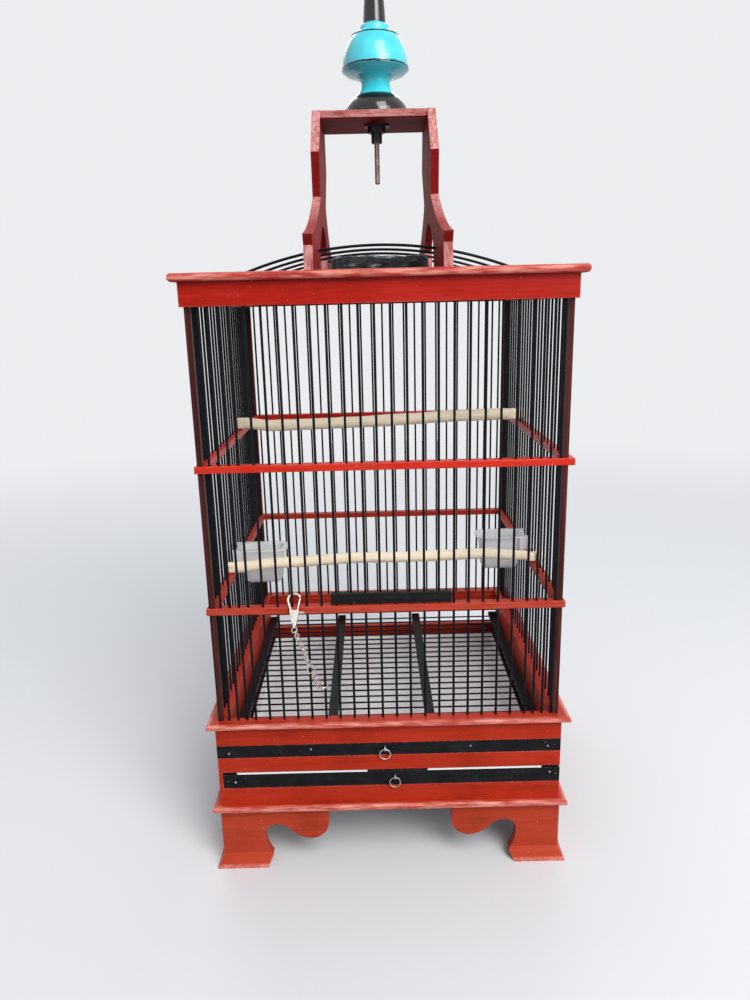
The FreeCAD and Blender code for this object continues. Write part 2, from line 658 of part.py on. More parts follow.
def build_tray():
    """Tray that pulls out to the front: black frame, white pan and a raised lip."""
    half = BASE_HALF
    inner = half - SIDE_THICK - GRATE_SIDE_GAP
    low = tray_low()
    high = low + TRAY_FRONT_HEIGHT
    face_back = -half + FRONT_THICK
    back = half - FRONT_THICK - GRATE_BACK_GAP
    front = box(-half + TRAY_CHEEK + SLIDE_GAP, half, -half, face_back, low, high)
    side = box(-inner, -inner + TRAY_SIDE_WIDTH, face_back, back, low, low + TRAY_SIDE_HEIGHT)
    rear_low = low + TRAY_FLOOR_LIFT
    rear = box(-inner + TRAY_SIDE_WIDTH, inner - TRAY_SIDE_WIDTH, back - TRAY_BACK_WIDTH, back,
               rear_low, low + TRAY_SIDE_HEIGHT)
    eye = eye_place(LOWER_EYE_SHIFT, high - LOWER_EYE_DROP)
    write("tray_front", [front.cut(eye_shank(eye, EYE_WIRE + FIT))])
    write("tray_frame", [side, mirror_x(side), rear])
    pan_half = inner - TRAY_SIDE_WIDTH - PAN_GAP
    pan_front = face_back + PAN_GAP
    pan_back = back - TRAY_BACK_WIDTH - PAN_GAP
    rim = Z_MID_RAIL - TRAY_RIM_GAP
    outer = box(-pan_half, pan_half, pan_front, pan_back, rear_low, rim)
    corners = edges_along(outer, V(0, 0, 1), lambda middle: True)
    outer = outer.makeFillet(PAN_EDGE, corners)
    hollow = box(-pan_half + PAN_WALL, pan_half - PAN_WALL, pan_front + PAN_WALL, pan_back - PAN_WALL,
                 rear_low + PAN_WALL, rim + OVERRUN)
    hollow = hollow.makeFillet(PAN_EDGE - PAN_WALL, edges_along(hollow, V(0, 0, 1), lambda middle: True))
    lip_left = LIP_SHIFT - LIP_LENGTH / 2
    lip_right = LIP_SHIFT + LIP_LENGTH / 2
    flange_front = -half + PAN_FLANGE_SETBACK
    flange_back = pan_front + PAN_WALL
    flanges = [box(-pan_half, lip_left - LIP_GAP, flange_front, flange_back, high + FIT, rim),
               box(lip_right + LIP_GAP, pan_half, flange_front, flange_back, high + FIT, rim)]
    write("tray_pan", [outer.fuse(flanges).cut(hollow).removeSplitter()])
    lip = box(lip_left, lip_right, -half, -half + LIP_DEPTH, high, high + LIP_HEIGHT)
    lip = lip.makeFillet(LIP_EDGE, edges_along(lip, V(1, 0, 0), lambda middle: middle.z > high + FIT))
    write("tray_lip", [lip])
    write("lower_pull_eye", [screw_eye(eye)])
    write("lower_pull_ring", [pull_ring(eye)])


def eye_place(shift, height):
    return V(shift, -BASE_HALF - EYE_STAND_OFF, height)


def eye_shank(place, radius):
    start = place + V(0, EYE_RADIUS, 0)
    return rod(start, start + V(0, EYE_STAND_OFF - EYE_RADIUS + EYE_SHANK, 0), radius)


def screw_eye(place):
    """Wire eye with its shank, standing out of a drawer front."""
    loop = Part.makeTorus(EYE_RADIUS, EYE_WIRE, place, V(1, 0, 0))
    return loop.fuse(eye_shank(place, EYE_WIRE)).removeSplitter()


def pull_ring(eye):
    """Ring that hangs in the eye, resting on the bottom of its hole."""
    seat = EYE_RADIUS - EYE_WIRE - PULL_WIRE - FIT
    return Part.makeTorus(PULL_RADIUS, PULL_WIRE, eye - V(0, 0, seat + PULL_RADIUS), V(0, 1, 0))


def roof_arcs(radius):
    """Bent rods from side to side, their ends sunk in the ledge."""
    crown = Z_ROOF + ARC_CROWN
    middle = crown - ARC_RADIUS
    drop = Z_ROOF - ARC_SINK - middle
    reach = math.sqrt(ARC_RADIUS * ARC_RADIUS - drop * drop)
    turn = math.degrees(math.atan2(reach, drop))
    found = []
    for number in range(ARC_COUNT):
        y = (number - (ARC_COUNT - 1) / 2) * ARC_SPACING
        section = Part.Face(Part.Wire(Part.makeCircle(radius, V(0, y, crown), V(1, 0, 0))))
        section.rotate(V(0, y, middle), V(0, 1, 0), -turn)
        found.append(section.revolve(V(0, y, middle), V(0, 1, 0), turn * 2))
    return found


def roof_bars(radius):
    """Straight bars from front to back, their ends sunk in the ledge."""
    reach = LEDGE_INNER + ROOF_BAR_SINK
    height = Z_LEDGE + LEDGE_THICK / 2
    middle = (WIDE_BARS - 1) / 2
    places = [(number - middle) * BAR_PITCH for number in range(WIDE_BARS)]
    return [rod(V(x, -reach, height), V(x, reach, height), radius) for x in places]


def build_roof():
    """Ledge, flat roof bars, bent rods and the block that carries the rods."""
    holes = roof_arcs(ARC_ROD + FIT) + roof_bars(BAR_RADIUS + FIT)
    strips = moulding(LEDGE_HALF, LEDGE_INNER, LEDGE_INNER, Z_LEDGE, Z_ROOF)
    write("top_ledge", [cut_all(strip, holes) for strip in strips])
    write("roof_bars", roof_bars(BAR_RADIUS))
    write("roof_arcs", roof_arcs(ARC_ROD))
    touch = BLOCK_HALF_LENGTH + BLOCK_SHIFT - BLOCK_EDGE
    fall = ARC_RADIUS - math.sqrt(ARC_RADIUS * ARC_RADIUS - touch * touch)
    top = Z_ROOF + ARC_CROWN - ARC_ROD - fall - BLOCK_PLAY
    low = Z_LEDGE + LEDGE_THICK / 2 + BAR_RADIUS + FIT
    block = box(BLOCK_SHIFT - BLOCK_HALF_LENGTH, BLOCK_SHIFT + BLOCK_HALF_LENGTH,
                -BLOCK_HALF_WIDTH, BLOCK_HALF_WIDTH, low, top)
    edges = edges_along(block, V(0, 1, 0), lambda middle: middle.z > (low + top) / 2)
    write("roof_block", [block.makeFillet(BLOCK_EDGE, edges)])


def arch_board():
    """Right arch board: carved outline with a pointed opening, leaning outwards."""
    half_outline = [
        (ARCH_TOP_HALF, ARCH_HEIGHT), (SHOULDER_HALF, SHOULDER_UP), (WAIST_HALF, WAIST_UP),
    ]
    low = -OVERRUN

    def side(sign):
        points = [(0, sign * y, z) for y, z in half_outline]
        toe = (0, sign * ARCH_TOE_HALF, ARCH_TOE_UP)
        undercut = (0, sign * UNDERCUT_HALF, UNDERCUT_UP)
        foot = (0, sign * ARCH_FOOT_HALF, low)
        spring = (0, sign * ARCH_DOOR_HALF, ARCH_DOOR_SPRING)
        edges = [line(points[0], points[1]), line(points[1], points[2])]
        edges.append(arc(points[2], (0, sign * FLARE_HALF, FLARE_UP), toe))
        edges.append(line(toe, undercut))
        edges.append(line(undercut, foot))
        edges.append(line(foot, (0, sign * ARCH_DOOR_HALF, low)))
        edges.append(line((0, sign * ARCH_DOOR_HALF, low), spring))
        edges.append(arc(spring, (0, sign * ARCH_DOOR_TURN_HALF, ARCH_DOOR_TURN_UP),
                         (0, 0, ARCH_DOOR_APEX)))
        return edges

    top = line((0, -ARCH_TOP_HALF, ARCH_HEIGHT), (0, ARCH_TOP_HALF, ARCH_HEIGHT))
    wire = Part.Wire(Part.__sortEdges__(side(1) + side(-1) + [top]))
    board = Part.Face(wire).extrude(V(ARCH_THICK, 0, 0))
    board.translate(V(ARCH_INNER_HALF, 0, Z_ROOF))
    board.rotate(V(ARCH_INNER_HALF, 0, Z_ROOF + ARCH_HEIGHT), V(0, 1, 0), -ARCH_SPLAY)
    far = ARCH_TOE_HALF + OVERRUN
    room = box(0, far, -far, far, Z_ROOF, Z_ROOF + ARCH_HEIGHT)
    return board.common(room)


def cap_underside():
    return Z_ROOF + ARCH_HEIGHT - CAP_THICK


def build_arch():
    """Two carved boards and the cap between them."""
    right = cut_all(arch_board(), roof_arcs(ARC_ROD + FIT)).removeSplitter()
    left = mirror_x(right)
    write("arch_right", [right])
    write("arch_left", [left])
    top = Z_ROOF + ARCH_HEIGHT
    reach = ARCH_INNER_HALF + ARCH_THICK
    cap = box(-reach, reach, -ARCH_TOP_HALF, ARCH_TOP_HALF, cap_underside(), top)
    edges = edges_along(cap, V(1, 0, 0), lambda middle: True)
    cap = cap.makeFillet(CAP_EDGE, edges)
    outside = arch_room()
    cap = cap.cut([outside, mirror_x(outside)])
    bore = rod(V(0, 0, cap_underside() - OVERRUN), V(0, 0, top + OVERRUN), ROD_RADIUS + FIT)
    write("arch_cap", [cap.cut(on_rod(bore))])


def on_rod(shape):
    """Piece made round the origin's vertical line, set on the rod."""
    shape.translate(V(ROD_SHIFT, 0, 0))
    return shape


def arch_room():
    """Everything outside the right board's inner face, which leans with the splay."""
    far = ARCH_TOE_HALF + OVERRUN
    room = box(ARCH_INNER_HALF, ARCH_INNER_HALF + far, -far, far, Z_ROOF, Z_ROOF + ARCH_HEIGHT + OVERRUN)
    room.rotate(V(ARCH_INNER_HALF, 0, Z_ROOF + ARCH_HEIGHT), V(0, 1, 0), -ARCH_SPLAY)
    return room


def hexagon(flats, low, high):
    """Hexagonal prism on the rod's axis."""
    across = flats / math.sqrt(3)
    points = [V(across * math.cos(math.radians(60 * side)), across * math.sin(math.radians(60 * side)), low)
              for side in range(7)]
    return Part.Face(Part.makePolygon(points)).extrude(V(0, 0, high - low))


def bored(shape, low, high, radius):
    return shape.cut(rod(V(0, 0, low - OVERRUN), V(0, 0, high + OVERRUN), radius))


def build_hardware():
    """Hook rod through finial and cap, with washer, spacer nut and two locked nuts."""
    under = cap_underside()
    washer_low = under - WASHER_THICK
    washer = rod(V(0, 0, washer_low), V(0, 0, under), WASHER_RADIUS)
    write("washer", [on_rod(bored(washer, washer_low, under, ROD_RADIUS + FIT))])
    spacer_low = washer_low - SPACER_HEIGHT
    spacer = hexagon(SPACER_FLATS, spacer_low, washer_low)
    write("spacer_nut", [on_rod(bored(spacer, spacer_low, washer_low, ROD_RADIUS + FIT))])
    nut_high = spacer_low - NUT_GAP
    nuts = []
    for number in range(2):
        high = nut_high - number * NUT_HEIGHT
        nut = hexagon(NUT_FLATS, high - NUT_HEIGHT, high)
        nuts.append(on_rod(bored(nut, high - NUT_HEIGHT, high, ROD_RADIUS)))
    write("jam_nuts", nuts)
    write("hook_rod", [on_rod(hook_rod())])


def finial_top():
    return Z_ROOF + ARCH_HEIGHT + DOME_HEIGHT + BELL_HEIGHT + STEM_HEIGHT


def hook_rod():
    """Straight rod that bends into an open hook, with the load point on the rod's axis."""
    low = cap_underside() - ROD_BELOW_CAP
    bend = finial_top() + ROD_ABOVE
    lean = math.radians(HOOK_LEAN)
    side = HOOK_RADIUS * math.cos(lean)
    rise = HOOK_RADIUS * math.sin(lean)
    first_radius = side / (1 - math.cos(lean))
    first_middle = V(first_radius, 0, bend)
    centre = V(0, 0, bend + first_radius * math.sin(lean) + rise)

    def on_first(turn):
        return first_middle + V(-first_radius * math.cos(turn), 0, first_radius * math.sin(turn))

    def on_hook(degrees):
        turn = math.radians(degrees)
        return centre + V(HOOK_RADIUS * math.cos(turn), 0, HOOK_RADIUS * math.sin(turn))

    path = [
        Part.LineSegment(V(0, 0, low), V(0, 0, bend)).toShape(),
        Part.Arc(V(0, 0, bend), on_first(lean / 2), on_first(lean)).toShape(),
        Part.Arc(on_hook(-HOOK_LEAN), on_hook((HOOK_TIP - HOOK_LEAN) / 2), on_hook(HOOK_TIP)).toShape(),
    ]
    section = Part.Wire(Part.makeCircle(ROD_RADIUS, V(0, 0, low), V(0, 0, 1)))
    return Part.Wire(path).makePipeShell([section], True, False)


def build_finial():
    """Black dome, teal bell and black stem, turned on the rod's axis."""
    bore = ROD_RADIUS + FIT
    low = Z_ROOF + ARCH_HEIGHT
    high = low + DOME_HEIGHT
    turn = (DOME_RADIUS * DOME_TURN_SHARES[0], 0, low + DOME_HEIGHT * DOME_TURN_SHARES[1])
    write("finial_dome", [on_rod(revolved([
        line((bore, 0, low), (DOME_RADIUS, 0, low)),
        arc((DOME_RADIUS, 0, low), turn, (SEAT_RADIUS, 0, high)),
        line((SEAT_RADIUS, 0, high), (bore, 0, high)),
        line((bore, 0, high), (bore, 0, low)),
    ]))])
    write("finial_bell", [on_rod(finial_bell(bore, high))])
    write("finial_stem", [on_rod(finial_stem(bore, high + BELL_HEIGHT))])


def finial_bell(bore, low):
    """Bell with a flared foot, a neck, a shallow groove and a collar."""
    def at(radius, up):
        return (radius, 0, low + up)

    seat = at(SEAT_RADIUS, 0)
    neck = at(NECK_RADIUS, NECK_UP)
    bowl = at(BOWL_RADIUS, BOWL_UP)
    under = at(UNDER_RADIUS, UNDER_UP)
    rim = at(BELL_RADIUS, BELL_RIM_UP)
    rim_top = at(BELL_RADIUS, BELL_RIM_UP + BELL_RIM_THICK)
    wall = at(BELL_RADIUS - BELL_RIM_STEP, BELL_RIM_UP + BELL_RIM_THICK)
    shoulder = at(BELL_TOP_RADIUS, BELL_TOP_UP)
    groove_in = at(BELL_TOP_RADIUS - GROOVE_DEPTH, BELL_TOP_UP)
    groove_out = at(BELL_TOP_RADIUS - GROOVE_DEPTH, BELL_TOP_UP + GROOVE_WIDTH)
    flange = at(BELL_TOP_RADIUS, BELL_TOP_UP + GROOVE_WIDTH)
    collar = at(COLLAR_RADIUS, COLLAR_UP)
    collar_top = at(COLLAR_TOP_RADIUS, COLLAR_TOP_UP)
    top = at(STEM_RADIUS, BELL_HEIGHT)
    return revolved([
        line(at(bore, 0), seat),
        arc(seat, at(SEAT_TURN_RADIUS, SEAT_TURN_UP), neck),
        arc(neck, at(BOWL_TURN_RADIUS, BOWL_TURN_UP), bowl),
        line(bowl, under),
        line(under, rim),
        line(rim, rim_top),
        line(rim_top, wall),
        arc(wall, at(BELL_TURN_RADIUS, BELL_TURN_UP), shoulder),
        line(shoulder, groove_in),
        line(groove_in, groove_out),
        line(groove_out, flange),
        line(flange, collar),
        line(collar, collar_top),
        line(collar_top, top),
        line(top, at(bore, BELL_HEIGHT)),
        line(at(bore, BELL_HEIGHT), at(bore, 0)),
    ])


def finial_stem(bore, low):
    """Tapered stem with a bead at its top."""
    def at(radius, up):
        return (radius, 0, low + up)

    waist = at(STEM_WAIST_RADIUS, STEM_WAIST_UP)
    top = at(STEM_TOP_RADIUS, STEM_HEIGHT)
    turn = at(STEM_TURN_RADIUS, STEM_WAIST_UP / 2)
    return revolved([
        line(at(bore, 0), at(STEM_RADIUS, 0)),
        arc(at(STEM_RADIUS, 0), turn, waist),
        arc(waist, at(BEAD_RADIUS, BEAD_UP), top),
        line(top, at(bore, STEM_HEIGHT)),
        line(at(bore, STEM_HEIGHT), at(bore, 0)),
    ])


def perch(shares, rest, radius, right_radius):
    """Tapered stick across the cage, with flats where it passes between the wall bars."""
    place = (shares[0] + shares[1]) * BAR_PITCH / 2
    slant = math.degrees(math.atan((shares[1] - shares[0]) * BAR_PITCH / (2 * BAR_LINE)))
    most = max(radius, right_radius)
    height = rest + PERCH_PLAY + most
    start = V(-PERCH_LEFT, place, height)
    stick = Part.makeCone(radius, right_radius, PERCH_LEFT + PERCH_RIGHT, start, V(1, 0, 0))
    cheeks = []
    low = height - most - OVERRUN
    high = height + most + OVERRUN
    inner = RING_HALF - PERCH_END_LENGTH
    for sign in (1, -1):
        near = place + sign * PERCH_END_WIDTH / 2
        far = place + sign * (most + OVERRUN)
        cheeks.append(box(inner, PERCH_RIGHT + OVERRUN, near, far, low, high))
        cheeks.append(box(-PERCH_LEFT - OVERRUN, -inner, near, far, low, high))
    stick = stick.cut(cheeks)
    stick.rotate(V(0, place, 0), V(0, 0, 1), slant)
    return stick


def build_perches():
    upper = perch(UPPER_PERCH_SHARES, Z_UPPER_TOP, UPPER_PERCH_RADIUS, UPPER_PERCH_RIGHT_RADIUS)
    write("upper_perch", [upper])
    lower = perch(LOWER_PERCH_SHARES, Z_LOWER_TOP, LOWER_PERCH_RADIUS, LOWER_PERCH_RIGHT_RADIUS)
    write("lower_perch", [lower])


def rounded_plate(x0, x1, y_half, corner, z):
    """Wire of a rounded rectangle, centred on the X axis."""
    sheet = box(x0, x1, -y_half, y_half, z, z + corner)
    sheet = sheet.makeFillet(corner, edges_along(sheet, V(0, 0, 1), lambda middle: True))
    for face in sheet.Faces:
        if abs(face.CenterOfMass.z - z) < FIT:
            return face.OuterWire
    raise ValueError("no bottom face")


def left_cup():
    """Feeding cup at the left wall, centred on the X axis."""
    back = -RING_HALF + RAIL_DEPTH + CUP_WALL_GAP
    front = back + CUP_LENGTH
    half = CUP_WIDTH / 2
    top = Z_LOWER_TOP + CUP_RIM_ABOVE
    low = top - CUP_HEIGHT
    outer = Part.makeLoft([
        rounded_plate(back + CUP_DRAFT, front - CUP_DRAFT, half - CUP_DRAFT, CUP_CORNER, low),
        rounded_plate(back, front, half, CUP_CORNER, top),
    ], True)
    bottom = [edge for edge in outer.Edges if abs(edge.BoundBox.ZMax - low) < FIT]
    outer = outer.makeFillet(CUP_BOTTOM_EDGE, bottom)
    wall = CUP_WALL
    lip = box(back - CUP_LIP, front + CUP_LIP, -half - CUP_LIP, half + CUP_LIP, top - CUP_LIP_THICK, top)
    lip = lip.makeFillet(CUP_CORNER + CUP_LIP, edges_along(lip, V(0, 0, 1), lambda middle: True))
    inner = Part.makeLoft([
        rounded_plate(back + CUP_DRAFT + wall, front - CUP_DRAFT - wall, half - CUP_DRAFT - wall,
                      CUP_CORNER - wall, low + wall),
        rounded_plate(back + wall, front - wall, half - wall, CUP_CORNER - wall, top + FIT),
    ], True)
    bottom = [edge for edge in inner.Edges if abs(edge.BoundBox.ZMax - low - wall) < FIT]
    inner = inner.makeFillet(CUP_BOTTOM_EDGE - wall, bottom)
    return outer.fuse(lip).cut(inner).fuse(cup_hooks(back, top)).removeSplitter()


def cup_hooks(back, top):
    """Two flat hooks from the cup's back, over the rail and down its outer face."""
    seat = Z_LOWER_TOP + CUP_TAB_PLAY
    outside = -RING_HALF - CUP_TAB_PLAY
    hooks = []
    for sign in (1, -1):
        y = sign * BAR_PITCH
        low, high = y - CUP_TAB_WIDTH / 2, y + CUP_TAB_WIDTH / 2
        arm = box(outside - CUP_TAB_THICK, back + CUP_DRAFT, low, high, seat, top)
        leg = box(outside - CUP_TAB_THICK, outside, low, high,
                  Z_LOWER_TOP - CUP_TAB_DROP, top)
        hooks.append(arm.fuse(leg))
    return hooks


def build_cups():
    cup = left_cup()
    right = mirror_x(cup)
    cup.translate(V(0, LEFT_CUP_SHARE * BAR_PITCH, 0))
    right.translate(V(0, RIGHT_CUP_SHARE * BAR_PITCH, 0))
    write("left_cup", [cup])
    write("right_cup", [right])


def snap_place():
    """Middle of the snap hook's loop, so that the loop holds its bar and the leg clears the rail."""
    lean = math.radians(SNAP_LEAN)
    rail_face = -RING_HALF
    shift = SNAP_SHIFT
    inner = SNAP_LOOP_RADIUS - SNAP_WIRE
    crossing = math.sqrt(inner * inner - shift * shift) - BAR_RADIUS / math.sin(lean) - SNAP_PLAY
    y = -BAR_LINE - crossing * math.sin(lean)
    rise = ((y - rail_face) * math.cos(lean) + SNAP_WIRE + SNAP_PLAY) / math.sin(lean)
    return V(front_columns()[SNAP_BARS] + shift, y, Z_LOWER_TOP + rise)


def leaned(shape):
    """Piece made flat in the XZ plane round the loop's middle, set leaning on the rail."""
    shape.rotate(V(), V(1, 0, 0), -SNAP_LEAN)
    shape.translate(snap_place())
    return shape


def snap_loop():
    """Open loop of wire with one leg, its free end above the gate."""
    turn = math.radians(SNAP_LOOP_END)
    foot = V(-SNAP_FOOT, 0, -SNAP_LEG)
    shoulder = V(-SNAP_LOOP_RADIUS, 0, 0)
    end = V(SNAP_LOOP_RADIUS * math.cos(turn), 0, SNAP_LOOP_RADIUS * math.sin(turn))
    path = Part.Wire([
        Part.LineSegment(foot, shoulder).toShape(),
        Part.Arc(shoulder, V(0, 0, SNAP_LOOP_RADIUS), end).toShape(),
    ])
    section = Part.Wire(Part.makeCircle(SNAP_WIRE, foot, shoulder - foot))
    return path.makePipeShell([section], True, False, 2)


def snap_body_top():
    return SNAP_BODY_LAP - SNAP_LEG


def gate_pivot():
    return V(GATE_SIDE, 0, snap_body_top() - GATE_DROP)


def snap_hook():
    """Loop, tapered body with a slot and a pin for the gate, and a bored collar."""
    high = snap_body_top()
    low = high - SNAP_BODY_HEIGHT
    back = SNAP_BODY_THICK / 2
    points = [V(-SNAP_BODY_TOP / 2, -back, high), V(SNAP_BODY_TOP / 2, -back, high),
              V(SNAP_BODY_LOW / 2, -back, low), V(-SNAP_BODY_LOW / 2, -back, low),
              V(-SNAP_BODY_TOP / 2, -back, high)]
    body = Part.Face(Part.makePolygon(points)).extrude(V(0, SNAP_BODY_THICK, 0))
    collar = rod(V(0, 0, low - SNAP_COLLAR_HEIGHT), V(0, 0, low), SNAP_COLLAR_RADIUS)
    pivot = gate_pivot()
    room = GATE_BOSS + SNAP_PLAY
    slot = GATE_THICK / 2 + GATE_SLOT_PLAY
    slot = box(pivot.x - room, SNAP_BODY_TOP, -slot, slot, pivot.z - room, high + OVERRUN)
    bore = rod(V(0, 0, low - SNAP_COLLAR_HEIGHT), V(0, 0, low - SNAP_COLLAR_HEIGHT + SWIVEL_DEPTH),
               SWIVEL_PIN + FIT)
    pin = rod(pivot - V(0, back, 0), pivot + V(0, back, 0), GATE_PIN)
    shape = snap_loop().fuse([body, collar]).cut([slot, bore])
    return shape.fuse(pin).removeSplitter()


def snap_gate():
    """Sprung gate that closes the loop, turning on a pin, with a round thumb knob."""
    turn = math.radians(SNAP_LOOP_END)
    end = V(SNAP_LOOP_RADIUS * math.cos(turn), 0, SNAP_LOOP_RADIUS * math.sin(turn))
    pivot = gate_pivot()
    run = (end - pivot).normalize()
    half = V(0, GATE_THICK / 2, 0)
    boss = rod(pivot - half, pivot + half, GATE_BOSS)
    knob = V(SNAP_BODY_TOP / 2 + KNOB_GAP, 0, pivot.z)
    arm = rod(pivot, end - run * GATE_GAP, GATE_WIRE)
    neck = rod(pivot, knob, GATE_WIRE)
    grip = rod(knob, knob + V(KNOB_LENGTH, 0, 0), KNOB_RADIUS)
    bore = rod(pivot - half * 2, pivot + half * 2, GATE_PIN + FIT)
    return boss.fuse([arm, neck, grip]).cut(bore).removeSplitter()


def swivel_top():
    """Point where the swivel's eye meets its pin."""
    low = snap_body_top() - SNAP_BODY_HEIGHT - SNAP_COLLAR_HEIGHT - SWIVEL_GAP - SWIVEL_WIRE
    lean = math.radians(SNAP_LEAN)
    return snap_place() + V(0, low * math.sin(lean), low * math.cos(lean))


def linked(radius, wire, next_radius, next_wire):
    """Distance between the middles of two rings that hang in each other."""
    return radius - wire + next_radius - next_wire - LINK_PLAY


def chain_length():
    """From the swivel's eye to the wire of the end ring."""
    total = linked(SWIVEL_EYE, SWIVEL_WIRE, LINK_RADIUS, LINK_WIRE)
    total += (UPPER_LINKS + LOWER_LINKS - 2) * linked(LINK_RADIUS, LINK_WIRE, LINK_RADIUS, LINK_WIRE)
    total += 2 * linked(LINK_RADIUS, LINK_WIRE, CHAIN_RING_RADIUS, CHAIN_RING_WIRE)
    return total + LINK_RADIUS - LINK_WIRE - END_RING_WIRE - LINK_PLAY


def build_snap():
    """Snap hook, and the chain that ends in a ring round another bar."""
    write("snap_hook", [leaned(snap_hook())])
    write("snap_gate", [leaned(snap_gate())])
    eye = swivel_top() - V(0, 0, SWIVEL_EYE)
    bar = V(front_columns()[CHAIN_BARS], -BAR_LINE, eye.z)
    apart = (eye - bar).Length
    away = (eye - bar).normalize()
    across = V(-away.y, away.x, 0)
    off = END_RING_RADIUS - END_RING_WIRE - BAR_RADIUS - END_RING_PLAY
    side = apart - off - END_RING_RADIUS
    length = chain_length()
    fall = math.sqrt(length * length - side * side)
    along = (V(0, 0, -fall) - away * side).normalize()
    pin_end = snap_body_top() - SNAP_BODY_HEIGHT - SNAP_COLLAR_HEIGHT + SWIVEL_DEPTH - SWIVEL_GAP
    pin_low = pin_end - SWIVEL_DEPTH - SWIVEL_WIRE
    pin = leaned(rod(V(0, 0, pin_low), V(0, 0, pin_end), SWIVEL_PIN))
    write("snap_swivel", [pin.fuse(Part.makeTorus(SWIVEL_EYE, SWIVEL_WIRE, eye, across)).removeSplitter()])
    pitch = linked(LINK_RADIUS, LINK_WIRE, LINK_RADIUS, LINK_WIRE)
    crossed = along.cross(across)
    place = linked(SWIVEL_EYE, SWIVEL_WIRE, LINK_RADIUS, LINK_WIRE)
    links = []
    for count in (UPPER_LINKS, LOWER_LINKS):
        for number in range(count):
            normal = across if number % 2 else crossed
            links.append(Part.makeTorus(LINK_RADIUS, LINK_WIRE, eye + along * place, normal))
            place += pitch
        place += linked(LINK_RADIUS, LINK_WIRE, CHAIN_RING_RADIUS, CHAIN_RING_WIRE) - pitch
        if count == UPPER_LINKS:
            ring_place = eye + along * place
            place += linked(LINK_RADIUS, LINK_WIRE, CHAIN_RING_RADIUS, CHAIN_RING_WIRE)
    write("chain_links", links)
    write("chain_ring", [Part.makeTorus(CHAIN_RING_RADIUS, CHAIN_RING_WIRE, ring_place, across)])
    end = V(bar.x, bar.y, eye.z - fall) + away * off
    write("end_ring", [Part.makeTorus(END_RING_RADIUS, END_RING_WIRE, end, V(0, 0, 1))])


def main():
    os.makedirs("parts", exist_ok=True)
    build_feet()
    build_base()
    build_grate()
    build_tray()
    build_frame()
    build_door()
    build_roof()
    build_arch()
    build_hardware()
    build_finial()
    build_perches()
    build_cups()
    build_snap()


main()
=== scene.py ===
import math

import bmesh
import bpy
from mathutils import Matrix, Vector, noise


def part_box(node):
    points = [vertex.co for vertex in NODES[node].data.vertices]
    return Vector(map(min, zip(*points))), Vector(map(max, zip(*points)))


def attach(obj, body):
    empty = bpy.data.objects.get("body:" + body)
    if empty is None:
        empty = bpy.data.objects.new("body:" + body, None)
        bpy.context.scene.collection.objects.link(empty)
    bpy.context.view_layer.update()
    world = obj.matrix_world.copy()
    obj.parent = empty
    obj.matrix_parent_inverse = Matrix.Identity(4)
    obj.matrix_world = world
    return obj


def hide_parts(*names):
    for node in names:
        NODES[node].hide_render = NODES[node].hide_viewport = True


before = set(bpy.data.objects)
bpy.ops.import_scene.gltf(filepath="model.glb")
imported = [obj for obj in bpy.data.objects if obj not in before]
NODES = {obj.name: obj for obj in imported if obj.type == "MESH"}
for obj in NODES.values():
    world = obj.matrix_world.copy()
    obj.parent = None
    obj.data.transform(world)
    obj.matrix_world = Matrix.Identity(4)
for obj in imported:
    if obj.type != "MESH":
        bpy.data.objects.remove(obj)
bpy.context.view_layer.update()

# Camera: its place in metres, its yaw, pitch and roll in radians, and its lens as a share of its sensor
CAMERA_PLACE = (-0.00854, -0.87718, 0.58848)
CAMERA_TURNS = (-0.000385, 0.253143, 0.024044)
SENSOR_WIDTH = 36.0
LENS_SHARE = 0.74724

# Paint colours of the red boards
ROOF_RED = (0.375, 0.010, 0.004)
RING_RED = (0.56, 0.017, 0.005)
LOW_RING_RED = (0.42, 0.032, 0.013)
BASE_RED = (0.42, 0.025, 0.008)
FOOT_RED = (0.44, 0.046, 0.018)
ARCH_RED = (0.25, 0.012, 0.010)

# Colours of wear, bleaching, painted highlights and painted sheen on the red boards
RUBBED_EDGE = (0.60, 0.20, 0.15)
NOSE_WEAR_AND_HIGHLIGHT = (0.80, 0.33, 0.26)
TOE_HIGHLIGHT = (0.78, 0.32, 0.26)
BLEACHED_AND_SHEEN_CUT = (0.76, 0.40, 0.38)
PALE_SPECK = (0.72, 0.42, 0.34)

# Colours of wear and dirt on everything else, and of the painted shade in the rod's thread
BROWN_UNDER_BLACK = (0.26, 0.12, 0.08)
CHIP_GREY = (0.38, 0.34, 0.30)
RUBBED_STAIN = (0.33, 0.12, 0.09)
GRUBBY_WOOD = (0.66, 0.45, 0.25)
WOOD_KNOT = (0.20, 0.10, 0.05)
SCRATCH_GREY = (0.50, 0.47, 0.45)
THREAD_ROOT_SHADE = (0.06, 0.03, 0.025)
RUST = (0.22, 0.085, 0.05)
BARE_STEEL = (0.20, 0.19, 0.20)
SCRAPED_GREY = (0.36, 0.39, 0.41)

# Wear and a painted highlight on the outer edge of a square frame: where they start and are full, from the
# middle, and how strong
LEDGE_NOSE = (0.1850, 0.1880, 0.75)
MOULDING_NOSE = (0.1820, 0.1888, 0.85)
UPPER_RING_NOSE = (0.1792, 0.1802, 0.06)
LOWER_RING_NOSE = (0.1792, 0.1802, 0.12)

# Height of the lip at the bottom of each foot that gets a painted highlight
TOE_HEIGHT = 0.0045

# Dark rings of painted shade round the bell, at the gap under its collar and at its rim's lip: height of the
# middle and half the width of each, colour and waver
BELL_SHADE_RINGS = ((0.8303, 0.0013), (0.8604, 0.0008))
RING_SHADE = (0.008, 0.010, 0.012)
RING_WAVER = 0.0016

# Hook rod: where its axis stands, its radius, and how many sides its skin has
ROD_X = 0.003
ROD_RADIUS = 0.003
ROD_SIDES = 24

# Its rolled thread: depth, pitch, top, radius at its lower end, and rings of points in each turn
THREAD_DEPTH = 0.0006
THREAD_PITCH = 0.001
THREAD_TOP = 0.7764
THREAD_END_RADIUS = 0.0019
RINGS_A_TURN = 6

